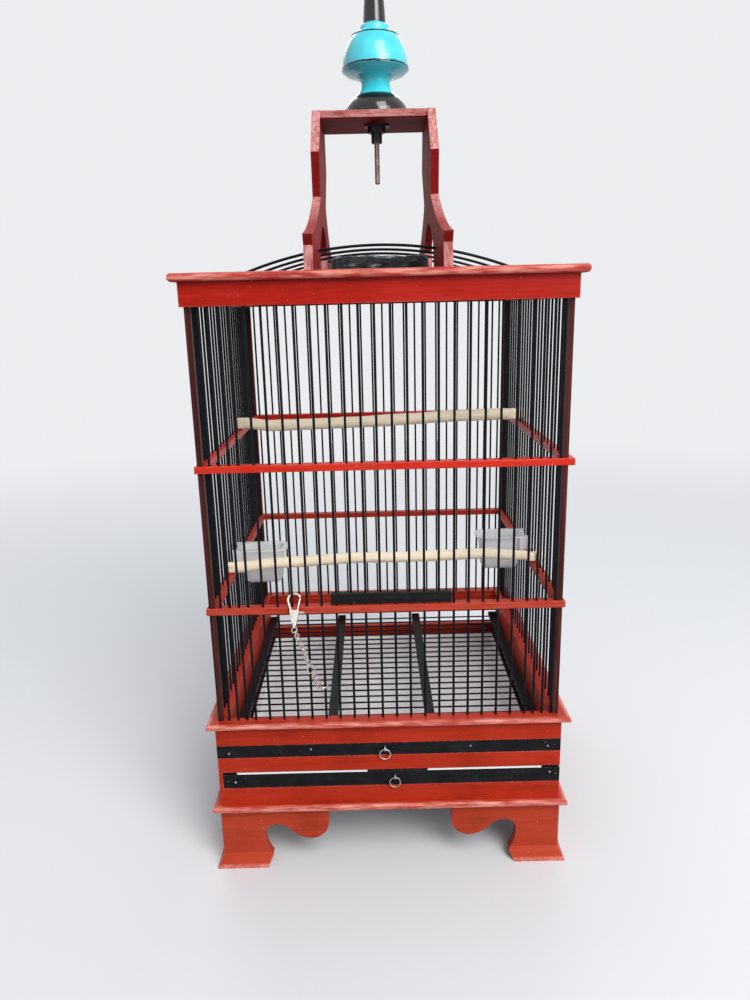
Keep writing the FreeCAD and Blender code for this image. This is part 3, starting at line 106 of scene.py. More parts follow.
# Its smooth shank: heights of its rings, of which it starts to bend at the last
SHANK_HEIGHTS = (THREAD_TOP + 0.0006, 0.85, 0.924, 0.930)

# Its hook: radius of the bends, the degrees and steps of the lean and of the round part, and its tip
HOOK_RADIUS = 0.017
LEAN_TURN, LEAN_STEPS = 60, 12
ROUND_TURN, ROUND_STEPS = 260, 60
TIP_LENGTH, TIP_SHARE = 0.002, 0.2

# Perches: how finely their skin is divided, and half the length of a knot as a share of the stick's
STICK_STEPS, STICK_SIDES = 150, 30
KNOT_HALF = 0.012

# Their ends: length and loss of the rounding, where the part between two bars starts, and half its width
ROUNDING, ROUNDING_LOSS = 0.003, 0.16
BETWEEN_BARS = 0.1655
BETWEEN_HALF = 0.0049

# Their skin: share of the radius that lumps and finer dimples are added to, how deep and fine both are,
# and how much the lumps change from one side of the stick to the other
SLIM = 0.95
LUMP_DEPTH, LUMP_FINENESS, LUMP_ROUND = 0.07, 38.0, 0.9
DIMPLE_DEPTH, DIMPLE_FINENESS = 0.025, 3.7

# Roof block: divisions along X, Y and Z, radii of its rounded edges, and depth and fineness of its dents
BLOCK_CUTS = (66, 40, 18)
BLOCK_RADII = Vector((0.0085, 0.0065, 0.0065))
DENT_DEPTH = 0.0030
DENT_FINENESS, GRAIN_FINENESS = 70.0, 190.0

# How squarely the block's skin faces down where it has no dents, so that it lies flat
FACES_DOWN = 0.9

# Nail heads: lift and radius of each ring of points, and the places on the drawer fronts as X and Z
BRAD_RINGS = ((0.0, 0.0011), (0.0003, 0.00105), (0.0006, 0.0007))
BRAD_SIDES = 12
GRATE_BRADS = ((-0.1685, 0.1362), (-0.082, 0.1392), (0.086, 0.1388), (0.1675, 0.1366))
TRAY_BRADS = ((-0.164, 0.1012), (0.1705, 0.1052))

# Angles in degrees above which an edge stays sharp
NODE_SHARP, PIECE_SHARP = 32, 40

# Stage: what is seen of the surroundings, what they throw back, and how far out the floor fades
PAPER = (0.84, 0.85, 0.87)
SKY_THROWN = (0.44, 0.46, 0.50)
FLOOR_THROWN = (0.24, 0.24, 0.25)
FLOOR_SEEN = (0.72, 0.73, 0.74)
FLOOR_RADIUS = 12.0
FADE_START, FADE_END = 0.7, 2.6

# Lamps: name, place, target, width and height in metres, watts and colour
LAMPS = (
    ("key", (0.75, -1.75, 2.25), (0, 0, 0.42), (1.2, 1.6), 43.0, (1.0, 0.985, 0.96)),
    ("fill", (1.40, -2.05, 1.45), (0, 0, 0.42), (1.5, 1.9), 39.0, (0.97, 0.985, 1.0)),
    ("back", (-0.20, 1.95, 2.40), (0, 0, 0.30), (2.6, 1.5), 28.0, (1.0, 1.0, 1.0)),
)


def add_camera():
    """Camera where the photograph was taken from."""
    data = bpy.data.cameras.new("camera")
    cam = bpy.data.objects.new("camera", data)
    bpy.context.scene.collection.objects.link(cam)
    yaw, pitch, roll = CAMERA_TURNS
    ahead = Vector((-math.sin(yaw), math.cos(yaw), 0.0))
    level = Vector((math.cos(yaw), math.sin(yaw), 0.0))
    forward = ahead * math.cos(pitch) - Vector((0, 0, math.sin(pitch)))
    upright = ahead * math.sin(pitch) + Vector((0, 0, math.cos(pitch)))
    right = level * math.cos(roll) - upright * math.sin(roll)
    up = level * math.sin(roll) + upright * math.cos(roll)
    turn = Matrix((right, up, -forward)).transposed()
    cam.matrix_world = Matrix.Translation(CAMERA_PLACE) @ turn.to_4x4()
    data.sensor_fit = "AUTO"
    data.sensor_width = SENSOR_WIDTH
    data.lens = LENS_SHARE * SENSOR_WIDTH
    data.clip_start, data.clip_end = 0.02, 30.0
    bpy.context.scene.camera = cam


# Node helpers, with the numbers of a Mix node's sockets for vectors and for colours
MIX_FACTOR, VECTOR_A, VECTOR_B, COLOUR_A, COLOUR_B = 0, 4, 5, 6, 7
MIXED_VECTOR, MIXED_COLOUR = 1, 2


class Mat:
    """A material under construction: add nodes by type and wire them by socket name."""

    def __init__(self, name):
        self.mat = bpy.data.materials.new(name)
        self.mat.use_nodes = True
        self.tree = self.mat.node_tree
        self.bsdf = self.tree.nodes["Principled BSDF"]
        self.coords = self.tree.nodes.new("ShaderNodeTexCoord")

    def set(self, **values):
        """Put constants on the shader's own sockets, with an underscore for each space in a name."""
        for key, value in values.items():
            self.bsdf.inputs[key.replace("_", " ")].default_value = value

    def wire(self, **sources):
        """Link outputs to the shader's own sockets, with an underscore for each space in a name."""
        for key, source in sources.items():
            self.link(source, self.bsdf.inputs[key.replace("_", " ")])

    def node(self, kind, **settings):
        made = self.tree.nodes.new(kind)
        for key, value in settings.items():
            setattr(made, key, value)
        return made

    def link(self, source, target):
        self.tree.links.new(source, target)

    def math(self, operation, first, second=None):
        """One value from one or two, each of them a number or an output."""
        made = self.node("ShaderNodeMath", operation=operation)
        for socket, value in zip(made.inputs, (first, second)):
            if isinstance(value, (int, float)):
                socket.default_value = value
            elif value is not None:
                self.link(value, socket)
        return made.outputs[0]

    def times(self, product, *factors):
        """Product of two or more values."""
        for factor in factors:
            product = self.math("MULTIPLY", product, factor)
        return product

    def mean(self, first, second, share=0.5):
        """The first value's share plus the rest of the second."""
        return self.math("ADD", self.times(first, share), self.times(second, 1 - share))

    def place(self):
        """Object coordinates in metres, as outputs X, Y and Z."""
        split = self.node("ShaderNodeSeparateXYZ")
        self.link(self.coords.outputs["Object"], split.inputs[0])
        return split.outputs

    def scaled(self, scale):
        """Object coordinates in metres, times a scale for each axis."""
        made = self.node("ShaderNodeMapping")
        self.link(self.coords.outputs["Object"], made.inputs["Vector"])
        made.inputs["Scale"].default_value = scale
        return made.outputs["Vector"]

    def noise(self, vector, scale, detail, rough, distortion=0.0):
        made = self.node("ShaderNodeTexNoise")
        self.link(vector, made.inputs["Vector"])
        made.inputs["Scale"].default_value = scale
        made.inputs["Detail"].default_value = detail
        made.inputs["Roughness"].default_value = rough
        made.inputs["Distortion"].default_value = distortion
        return made.outputs["Fac"]

    def cloud(self, scale, detail, rough):
        """Noise that is equally coarse in every direction, finer where the scale is higher."""
        return self.noise(self.coords.outputs["Object"], scale, detail, rough)

    def stretched(self, scale, detail, rough, distortion=0.0):
        """Noise with a scale of its own for each axis."""
        return self.noise(self.scaled(scale), 1.0, detail, rough, distortion)

    def board(self, grain, along, across):
        """Coordinates drawn out along the grain: X, Y or Z, or FRAME for the four sides of a square."""
        scales = {"X": (along, across, across), "Y": (across, along, across), "Z": (across, across, along)}
        if grain in scales:
            return self.scaled(scales[grain])
        place = self.place()
        side = self.math("GREATER_THAN", self.math("ABSOLUTE", place["X"]), self.math("ABSOLUTE", place["Y"]))
        mix = self.node("ShaderNodeMix", data_type="VECTOR")
        self.link(side, mix.inputs[MIX_FACTOR])
        self.link(self.scaled(scales["X"]), mix.inputs[VECTOR_A])
        self.link(self.scaled(scales["Y"]), mix.inputs[VECTOR_B])
        return mix.outputs[MIXED_VECTOR]

    def ramp(self, fac, stops):
        """Values or colours between stops, each a place from 0 to 1 and what it has there."""
        made = self.node("ShaderNodeValToRGB")
        self.link(fac, made.inputs["Fac"])
        ramp = made.color_ramp
        while len(ramp.elements) < len(stops):
            ramp.elements.new(0.5)
        for element, (place, colour) in zip(ramp.elements, stops):
            element.position = place
            if isinstance(colour, (int, float)):
                colour = (colour, colour, colour)
            element.color = (*colour, 1.0)
        return made.outputs["Color"]

    def mix(self, fac, first, second):
        """Colour that goes from the first to the second as fac goes from 0 to 1."""
        made = self.node("ShaderNodeMix", data_type="RGBA")
        for socket, value in ((MIX_FACTOR, fac), (COLOUR_A, first), (COLOUR_B, second)):
            if isinstance(value, tuple):
                made.inputs[socket].default_value = (*value, 1.0)
            else:
                self.link(value, made.inputs[socket])
        return made.outputs[MIXED_COLOUR]

    def bump(self, height, strength, distance, normal=None):
        made = self.node("ShaderNodeBump")
        made.inputs["Strength"].default_value = strength
        made.inputs["Distance"].default_value = distance
        self.link(height, made.inputs["Height"])
        if normal is not None:
            self.link(normal, made.inputs["Normal"])
        return made.outputs["Normal"]

    def rounded(self, radius):
        """Normal that rolls over sharp edges by this radius."""
        made = self.node("ShaderNodeBevel", samples=4)
        made.inputs["Radius"].default_value = radius
        return made.outputs["Normal"]

    def edges(self, radius):
        """1 near sharp edges, 0 on open faces, from how far a rolled normal leaves the true one."""
        geometry = self.node("ShaderNodeNewGeometry")
        dot = self.node("ShaderNodeVectorMath", operation="DOT_PRODUCT")
        self.link(self.rounded(radius), dot.inputs[0])
        self.link(geometry.outputs["True Normal"], dot.inputs[1])
        return self.ramp(self.math("SUBTRACT", 1.0, dot.outputs["Value"]), [(0.0, 0.0), (0.12, 1.0)])


# Wear, bleaching and painted highlights on wood
def nose_wear_and_highlight(m, start, full):
    """1 on the outermost edge of a square frame, fading inwards, from the distance to the middle."""
    place = m.place()
    out = m.math("MAXIMUM", m.math("ABSOLUTE", place["X"]), m.math("ABSOLUTE", place["Y"]))
    span = m.node("ShaderNodeMapRange", interpolation_type="SMOOTHSTEP")
    m.link(out, span.inputs["Value"])
    span.inputs["From Min"].default_value = start
    span.inputs["From Max"].default_value = full
    return span.outputs["Result"]


def edge_cut(m):
    """1 on cut edges that face the front or the back and don't face down."""
    geometry = m.node("ShaderNodeNewGeometry")
    split = m.node("ShaderNodeSeparateXYZ")
    m.link(geometry.outputs["Normal"], split.inputs[0])
    out = m.ramp(m.math("ABSOLUTE", split.outputs["Y"]), [(0.3, 0.0), (0.5, 1.0)])
    rise = m.ramp(m.math("ADD", split.outputs["Z"], 0.5), [(0.28, 0.0), (0.42, 1.0)])
    return m.times(out, rise)


def brushed(m, streaks, lines, plain):
    """Paint in a deeper and a paler shade of one colour, with dark lines where it is thin."""
    deep = tuple(c * 0.70 for c in plain)
    pale = tuple(min(1.0, c * 1.13 + 0.006) for c in plain)
    tone = m.mean(streaks, m.cloud(17.0, 4.0, 0.55))
    paint = m.ramp(tone, [(0.33, deep), (0.47, plain), (0.64, pale)])
    return m.mix(m.ramp(lines, [(0.30, 0.55), (0.42, 0.0)]), paint, tuple(c * 0.45 for c in plain))


# Materials, in which a noise is given by its scale, detail and roughness, and a ramp by its stops
def red_wood(name, grain, plain, nose=None, toe=None, cut=0.0, gloss=0.30, level=0.13):
    """Red paint brushed thinly over boards: fine streaks along the grain, rubbed edges and specks.

    nose is one of the NOSE values, for wear and a painted highlight on a frame's nose, toe the height of the
    lip at a foot's bottom that gets a painted highlight, and cut how strongly the cut edges are bleached and
    given a painted sheen.
    """
    m = Mat(name)
    board = m.board(grain, 9.0, 210.0)
    streaks = m.noise(board, 1.0, 6.0, 0.6, 0.3)
    lines = m.noise(m.board(grain, 26.0, 900.0), 1.0, 3.0, 0.55)
    paint = brushed(m, streaks, lines, plain)
    fine = m.ramp(m.cloud(300.0, 4.0, 0.7), [(0.40, 0.0), (0.60, 1.0)])
    broad = m.ramp(m.cloud(48.0, 3.0, 0.6), [(0.36, 0.15), (0.6, 1.0)])
    patchy = m.times(fine, broad)
    paint = m.mix(m.times(m.edges(0.0020), patchy, 0.7), paint, RUBBED_EDGE)
    if nose:
        start, full, amount = nose
        # Wear and a painted highlight on the frame's outer edge and nose, in streaks along the grain
        streaky = m.ramp(m.noise(m.board(grain, 34.0, 260.0), 1.0, 4.0, 0.6), [(0.40, 0.10), (0.62, 1.0)])
        paint = m.mix(m.times(nose_wear_and_highlight(m, start, full), m.times(streaky, amount)), paint, NOSE_WEAR_AND_HIGHLIGHT)
    if toe:
        # Painted highlight on the rounded lip at the foot's bottom, broken into patches
        low = m.ramp(m.math("DIVIDE", m.place()["Z"], toe), [(0.6, 1.0), (1.0, 0.0)])
        lip_highlight = m.math("ADD", m.times(patchy, 0.6), 0.2)
        paint = m.mix(m.times(low, lip_highlight), paint, TOE_HIGHLIGHT)
    if cut:
        # Cut edges that face front or back, bleached and given a painted sheen; where they face down they are
        # left out
        bleach_and_sheen = m.ramp(m.noise(m.board(grain, 60.0, 300.0), 1.0, 6.0, 0.75), [(0.36, 0.15), (0.6, 1.0)])
        paint = m.mix(m.times(edge_cut(m), bleach_and_sheen, cut), paint, BLEACHED_AND_SHEEN_CUT)
    specks = m.ramp(m.cloud(430.0, 2.0, 0.4), [(0.745, 0.0), (0.77, 1.0)])
    paint = m.mix(m.times(specks, 0.55), paint, PALE_SPECK)
    rough = m.ramp(m.noise(board, 2.0, 4.0, 0.6), [(0.3, gloss), (0.7, gloss + 0.16)])
    relief = m.bump(m.mean(streaks, lines, 0.6), 0.30, 0.0005, m.rounded(0.0009))
    m.wire(Base_Color=paint, Roughness=rough, Normal=relief)
    m.set(Specular_IOR_Level=level)
    return m.mat


def black_paint(name, grain, gloss=0.34):
    """Black paint on wood with faint brush marks, dust and a few pale chips."""
    m = Mat(name)
    streaks = m.noise(m.board(grain, 9.0, 260.0), 1.0, 5.0, 0.6)
    dust = m.cloud(60.0, 5.0, 0.65)
    paint = m.ramp(m.mean(streaks, dust), [(0.36, (0.004, 0.004, 0.006)), (0.55, (0.010, 0.010, 0.012)),
                                           (0.72, (0.030, 0.027, 0.026))])
    rub = m.times(m.edges(0.0014), m.ramp(m.cloud(300.0, 3.0, 0.7), [(0.48, 0.0), (0.66, 1.0)]))
    paint = m.mix(m.times(rub, 0.45), paint, BROWN_UNDER_BLACK)
    chips = m.ramp(m.cloud(330.0, 2.0, 0.4), [(0.745, 0.0), (0.765, 1.0)])
    paint = m.mix(m.times(chips, 0.6), paint, CHIP_GREY)
    rough = m.ramp(dust, [(0.35, gloss), (0.75, gloss + 0.25)])
    m.wire(Base_Color=paint, Roughness=rough, Normal=m.bump(streaks, 0.3, 0.0004, m.rounded(0.0007)))
    m.set(Specular_IOR_Level=0.09)
    return m.mat


def bar_paint(name):
    """Black paint on thin bars, unevenly coated, with dust on it."""
    m = Mat(name)
    coat = m.noise(m.scaled((1.0, 1.0, 0.3)), 240.0, 4.0, 0.6)
    paint = m.ramp(coat, [(0.3, (0.003, 0.003, 0.005)), (0.62, (0.007, 0.007, 0.010)),
                          (0.82, (0.022, 0.018, 0.017))])
    rough = m.ramp(coat, [(0.3, 0.30), (0.75, 0.52)])
    m.wire(Base_Color=paint, Roughness=rough, Normal=m.bump(coat, 0.25, 0.0003))
    m.set(Specular_IOR_Level=0.08)
    return m.mat


def brown_post(name):
    """Dark red-brown stain on the corner posts, rubbed pale at the corners."""
    m = Mat(name)
    streaks = m.noise(m.board("Z", 7.0, 320.0), 1.0, 5.0, 0.6)
    paint = m.ramp(streaks, [(0.3, (0.020, 0.005, 0.005)), (0.52, (0.062, 0.013, 0.011)),
                             (0.72, (0.13, 0.030, 0.022))])
    rub = m.times(m.edges(0.0012), m.ramp(m.cloud(320.0, 3.0, 0.7), [(0.5, 0.0), (0.66, 1.0)]))
    paint = m.mix(m.times(rub, 0.4), paint, RUBBED_STAIN)
    rough = m.ramp(streaks, [(0.3, 0.34), (0.7, 0.5)])
    m.wire(Base_Color=paint, Roughness=rough, Normal=m.bump(streaks, 0.4, 0.0004, m.rounded(0.0006)))
    m.set(Specular_IOR_Level=0.1)
    return m.mat


def turned_gloss(name, colour, pale, rough, rings=()):
    """Glossy paint on a turned piece with fine turning lines, and dark rings of painted shade round it where
    given.
    """
    m = Mat(name)
    patches = m.cloud(45.0, 4.0, 0.6)
    paint = m.ramp(patches, [(0.32, colour), (0.68, pale)])
    waver = m.times(m.math("SUBTRACT", m.cloud(90.0, 2.0, 0.5), 0.5), RING_WAVER)
    height = m.math("ADD", m.place()["Z"], waver)
    # Dark rings of painted shade where a gap or lip of the piece lies in shade
    for middle, half in rings:
        off = m.math("DIVIDE", m.math("ABSOLUTE", m.math("SUBTRACT", height, middle)), half)
        paint = m.mix(m.ramp(off, [(0.8, 1.0), (1.0, 0.0)]), paint, RING_SHADE)
    turned = m.stretched((12.0, 12.0, 900.0), 3.0, 0.6)
    relief = m.bump(m.mean(turned, patches), 0.16, 0.0005, m.rounded(0.0006))
    m.wire(Base_Color=paint, Roughness=m.ramp(patches, [(0.3, rough), (0.75, rough + 0.12)]), Normal=relief)
    m.set(Specular_IOR_Level=0.4, Coat_Weight=0.45, Coat_Roughness=0.04)
    return m.mat


def bare_stick(name):
    """Peeled stick: pale sapwood with long fibres, small dark knots and a few grubby patches."""
    m = Mat(name)
    fibres = m.stretched((14.0, 420.0, 420.0), 5.0, 0.65)
    wood = m.ramp(fibres, [(0.28, (0.90, 0.71, 0.46)), (0.5, (0.985, 0.86, 0.64)),
                           (0.72, (0.99, 0.92, 0.76))])
    grubby = m.ramp(m.cloud(30.0, 4.0, 0.6), [(0.58, 0.0), (0.85, 0.35)])
    wood = m.mix(grubby, wood, GRUBBY_WOOD)
    knots = m.node("ShaderNodeTexVoronoi", feature="F1")
    m.link(m.scaled((26.0, 75.0, 75.0)), knots.inputs["Vector"])
    knots.inputs["Scale"].default_value = 1.0
    spot = m.ramp(knots.outputs["Distance"], [(0.05, 1.0), (0.13, 0.0)])
    wood = m.mix(m.times(spot, 0.7), wood, WOOD_KNOT)
    rough = m.ramp(fibres, [(0.3, 0.5), (0.7, 0.68)])
    m.wire(Base_Color=wood, Roughness=rough, Normal=m.bump(fibres, 0.35, 0.0004))
    m.set(Specular_IOR_Level=0.25)
    return m.mat


def cup_plastic(name):
    """Thin milky plastic that the bars and the perch behind show through."""
    m = Mat(name)
    haze = m.cloud(55.0, 3.0, 0.55)
    milk = m.ramp(haze, [(0.3, (0.88, 0.91, 0.99)), (0.7, (0.95, 0.97, 1.0))])
    relief = m.bump(haze, 0.05, 0.0003, m.rounded(0.0008))
    m.wire(Base_Color=milk, Roughness=m.ramp(haze, [(0.3, 0.14), (0.75, 0.24)]), Normal=relief)
    m.set(Alpha=0.74, Specular_IOR_Level=0.5, Coat_Weight=0.4, Coat_Roughness=0.06,
          Subsurface_Weight=0.9, Subsurface_Radius=(0.004, 0.004, 0.005), Subsurface_Scale=1.0)
    return m.mat


def pan_enamel(name):
    """White pan with a dull skin of dust and fine scratches."""
    m = Mat(name)
    grime = m.cloud(22.0, 5.0, 0.65)
    scratch = m.stretched((14.0, 420.0, 60.0), 3.0, 0.6)
    white = m.ramp(grime, [(0.30, (0.82, 0.80, 0.80)), (0.52, (0.91, 0.90, 0.90)),
                           (0.72, (0.95, 0.94, 0.95))])
    white = m.mix(m.ramp(scratch, [(0.68, 0.0), (0.82, 0.3)]), white, SCRATCH_GREY)
    rough = m.ramp(grime, [(0.3, 0.5), (0.7, 0.30)])
    m.wire(Base_Color=white, Roughness=rough, Normal=m.bump(scratch, 0.12, 0.0003))
    return m.mat


def thread_roots(m):
    """Strength of the painted shade at the roots of the rod's thread, from the distance to the rod's axis."""
    shift = m.node("ShaderNodeVectorMath", operation="SUBTRACT")
    m.link(m.coords.outputs["Object"], shift.inputs[0])
    shift.inputs[1].default_value = (ROD_X, 0.0, 0.0)
    flat = m.node("ShaderNodeVectorMath", operation="MULTIPLY")
    m.link(shift.outputs[0], flat.inputs[0])
    flat.inputs[1].default_value = (1.0, 1.0, 0.0)
    length = m.node("ShaderNodeVectorMath", operation="LENGTH")
    m.link(flat.outputs[0], length.inputs[0])
    over = m.math("SUBTRACT", length.outputs["Value"], ROD_RADIUS - THREAD_DEPTH)
    return m.ramp(m.math("DIVIDE", over, THREAD_DEPTH), [(0.15, 0.65), (0.6, 0.0)])


def metal(name, bright, dark, rough, rust, scale, threaded=False):
    """Plain metal with patchy polish and rust, and painted shade in the roots between the crests of a thread.
    """
    m = Mat(name)
    patches = m.cloud(scale, 5.0, 0.65)
    colour = m.ramp(patches, [(0.32, dark), (0.66, bright)])
    if threaded:
        # Painted shade in the roots of the thread
        colour = m.mix(thread_roots(m), colour, THREAD_ROOT_SHADE)
    spots = m.times(m.ramp(m.cloud(scale * 2.5, 4.0, 0.7), [(0.46, 0.0), (0.62, 1.0)]), rust)
    colour = m.mix(spots, colour, RUST)
    dull = m.ramp(patches, [(0.3, rough + 0.16), (0.7, rough)])
    m.wire(Base_Color=colour, Metallic=m.math("SUBTRACT", 1.0, spots), Roughness=dull,
           Normal=m.bump(patches, 0.2, 0.0002))
    return m.mat


def dark_nut(name):
    """Blackened nut and washer, greasy, with bare metal on the corners."""
    m = Mat(name)
    patches = m.cloud(210.0, 4.0, 0.6)
    skin = m.ramp(patches, [(0.35, (0.006, 0.006, 0.008)), (0.7, (0.026, 0.024, 0.026))])
    rub = m.times(m.edges(0.0008), m.ramp(patches, [(0.45, 0.2), (0.6, 1.0)]))
    skin = m.mix(m.times(rub, 0.5), skin, BARE_STEEL)
    rough = m.ramp(patches, [(0.3, 0.38), (0.7, 0.55)])
    m.wire(Base_Color=skin, Roughness=rough, Normal=m.bump(patches, 0.3, 0.0003, m.rounded(0.0004)))
    m.set(Specular_IOR_Level=0.3, Metallic=0.2)
    return m.mat


def rough_block(name):
    """Thick lumpy black paint over the rough roof block, scraped to grey on its high spots."""
    m = Mat(name)
    lumps = m.noise(m.scaled((0.7, 1.0, 1.8)), 130.0, 6.0, 0.7)
    scrape = m.stretched((28.0, 60.0, 210.0), 5.0, 0.7, 0.8)
    paint = m.ramp(lumps, [(0.40, (0.004, 0.005, 0.006)), (0.58, (0.018, 0.021, 0.024)),
                           (0.72, (0.10, 0.11, 0.12))])
    paint = m.mix(m.ramp(scrape, [(0.57, 0.0), (0.70, 0.75)]), paint, SCRAPED_GREY)
    rough = m.ramp(lumps, [(0.35, 0.32), (0.7, 0.62)])
    m.wire(Base_Color=paint, Roughness=rough, Normal=m.bump(lumps, 0.9, 0.0016))
    m.set(Specular_IOR_Level=0.22)
    return m.mat


MATERIALS = {
    "red_roof": red_wood("red_roof", "FRAME", ROOF_RED, nose=LEDGE_NOSE),
    "red_ring": red_wood("red_ring", "FRAME", RING_RED, nose=UPPER_RING_NOSE, gloss=0.26),
    "red_low_ring": red_wood("red_low_ring", "FRAME", LOW_RING_RED, nose=LOWER_RING_NOSE, gloss=0.34),
    "red_moulding": red_wood("red_moulding", "FRAME", BASE_RED, nose=MOULDING_NOSE),
    "red_foot": red_wood("red_foot", "FRAME", FOOT_RED, toe=TOE_HEIGHT),
    "red_x": red_wood("red_x", "X", BASE_RED),
    "red_y": red_wood("red_y", "Y", BASE_RED),
    "red_arch": red_wood("red_arch", "Z", ARCH_RED, cut=0.78, gloss=0.5, level=0.05),
    "red_cap": red_wood("red_cap", "X", ARCH_RED, cut=0.6, gloss=0.5, level=0.04),
    "black_x": black_paint("black_x", "X"),
    "black_y": black_paint("black_y", "Y", gloss=0.38),
    "bars": bar_paint("bars"),
    "post": brown_post("post"),
    "teal": turned_gloss("teal", (0.040, 0.54, 0.63), (0.085, 0.68, 0.77), 0.12, BELL_SHADE_RINGS),
    "dome": turned_gloss("dome", (0.004, 0.004, 0.006), (0.012, 0.012, 0.015), 0.08),
    "stick": bare_stick("stick"),
    "cup": cup_plastic("cup"),
    "pan": pan_enamel("pan"),
    "zinc": metal("zinc", (0.60, 0.58, 0.54), (0.30, 0.29, 0.27), rough=0.28, rust=0.25, scale=90.0),
    "rusty": metal("rusty", (0.90, 0.77, 0.76), (0.50, 0.38, 0.37), rough=0.38, rust=0.4, scale=160.0,
                   threaded=True),
    "nut": dark_nut("nut"),
    "nickel": metal("nickel", (0.80, 0.75, 0.69), (0.40, 0.34, 0.28), rough=0.24, rust=0.10, scale=260.0),
    "block": rough_block("block"),
}

DRESS = {
    "red_roof": ["top_apron", "top_ledge"],
    "red_ring": ["upper_ring"],
    "red_low_ring": ["lower_ring"],
    "red_moulding": ["lower_moulding", "base_moulding"],
    "red_foot": ["foot_front_left", "foot_front_right", "foot_back_left", "foot_back_right"],
    "red_x": ["base_bottom_rail", "base_mid_rail", "base_top_rail", "base_back_lower", "base_back_upper"],
    "red_y": ["base_left_board", "base_right_board", "grate_runners", "tray_runners"],
    "red_arch": ["arch_left", "arch_right"],
    "red_cap": ["arch_cap"],
    "black_x": ["door_strip", "grate_front", "tray_front", "tray_lip"],
    "black_y": ["grate_strips", "tray_frame"],
    "bars": ["front_bars", "back_bars", "left_bars", "right_bars", "roof_bars", "roof_arcs", "door_bars",
             "grate_wires"],
    "post": ["corner_posts"],
    "teal": ["finial_bell"],
    "dome": ["finial_dome", "finial_stem"],
    "stick": ["upper_perch", "lower_perch"],
    "cup": ["left_cup", "right_cup"],
    "pan": ["tray_pan"],
    "zinc": ["upper_pull_eye", "upper_pull_ring", "lower_pull_eye", "lower_pull_ring"],
    "rusty": ["hook_rod"],
    "nut": ["washer", "spacer_nut", "jam_nuts"],
    "nickel": ["snap_hook", "snap_gate", "snap_swivel", "chain_links", "chain_ring", "end_ring"],
    "block": ["roof_block"],
}

SMOOTH = {"bars", "teal", "dome", "stick", "cup", "zinc", "nickel", "rusty", "nut", "red_roof", "red_ring",
          "red_low_ring", "red_moulding", "red_cap"}


def smooth(mesh, degrees):
    """Smooth shading, apart from edges that are sharper than an angle."""
    for polygon in mesh.polygons:
        polygon.use_smooth = True
    mesh.set_sharp_from_angle(angle=math.radians(degrees))


def dress_nodes():
    """Give each node of the frame its material, and round ones smooth shading."""
    for material, names in DRESS.items():
        for name in names:
            mesh = NODES[name].data
            mesh.materials.clear()
            mesh.materials.append(MATERIALS[material])
            if material in SMOOTH:
                smooth(mesh, NODE_SHARP)


# Pieces made here in place of plain solids
def placed(name, bm, material, body, slot, *nodes):
    """Object from a mesh under construction, riding on a body, in place of nodes if any are given."""
    mesh = bpy.data.meshes.new(name)
    bm.to_mesh(mesh)
    bm.free()
    smooth(mesh, PIECE_SHARP)
    mesh.materials.append(MATERIALS[material])
    piece = bpy.data.objects.new(name, mesh)
    bpy.context.scene.collection.objects.link(piece)
    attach(piece, body)
    if nodes:
        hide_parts(*nodes)


def band(bm, low, high):
    """Faces between two rings of points."""
    for side in range(len(low)):
        after = (side + 1) % len(low)
        bm.faces.new((low[side], low[after], high[after], high[side]))


def lofted(name, rings, material, body, slot, node):
    """Closed skin through rings of points, its two ends closed by a fan each, in place of a node."""
    bm = bmesh.new()
    rows = [[bm.verts.new(point) for point in ring] for ring in rings]
    sides = len(rows[0])
    for low, high in zip(rows, rows[1:]):
        band(bm, low, high)
    for row, flip in ((rows[0], True), (rows[-1], False)):
        tip = bm.verts.new(sum((vert.co for vert in row), Vector()) / sides)
        for side in range(sides):
            corner = (row[side], row[(side + 1) % sides], tip)
            bm.faces.new(corner[::-1] if flip else corner)
    bmesh.ops.recalc_face_normals(bm, faces=bm.faces)
    placed(name, bm, material, body, slot, node)


def eased(table, share):
    """Value of a table of (share, value) at a share, eased between its entries."""
    for (start, first), (end, last) in zip(table, table[1:]):
        if share <= end:
            part = (share - start) / (end - start)
            part = part * part * (3 - 2 * part)
            return first + (last - first) * part
    return table[-1][1]


def natural_stick(name, node, start, end, radii, bends, knots, seed):
    """Peeled stick, gently bent, thicker at its knots, with flattened ends that lie between two bars.

    bends gives the rise of its middle line, and knots how much thicker it is, each at a share of its
    length. seed moves the lumps of its skin.
    """
    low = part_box(node)[0][2]
    start, end = Vector(start), Vector(end)
    rings = []
    for step in range(STICK_STEPS + 1):
        share = step / STICK_STEPS
        middle = start.lerp(end, share)
        middle.z += eased(bends, share)
        radius = radii[0] + (radii[1] - radii[0]) * share
        for place, size in knots:
            radius *= 1 + size * math.exp(-((share - place) / KNOT_HALF) ** 2)
        tip = min(share, 1 - share) * (end - start).length
        radius *= 1 - ROUNDING_LOSS * max(0.0, 1 - tip / ROUNDING) ** 2
        ring = []
        for side in range(STICK_SIDES):
            turn = 2 * math.pi * side / STICK_SIDES
            out = Vector((0.0, math.cos(turn), math.sin(turn)))
            probe = middle * LUMP_FINENESS + out * LUMP_ROUND + Vector((seed, 0, 0))
            lumps = LUMP_DEPTH * noise.noise(probe)
            dimples = DIMPLE_DEPTH * noise.noise(probe * DIMPLE_FINENESS)
            point = middle + out * radius * (SLIM + lumps + dimples)
            if abs(middle.x) > BETWEEN_BARS:
                point.y = middle.y + max(-BETWEEN_HALF, min(BETWEEN_HALF, point.y - middle.y))
                point.z = max(point.z, low)
            ring.append(point)
        rings.append(ring)
    lofted(name, rings, "stick", node, "bare_wood", node)


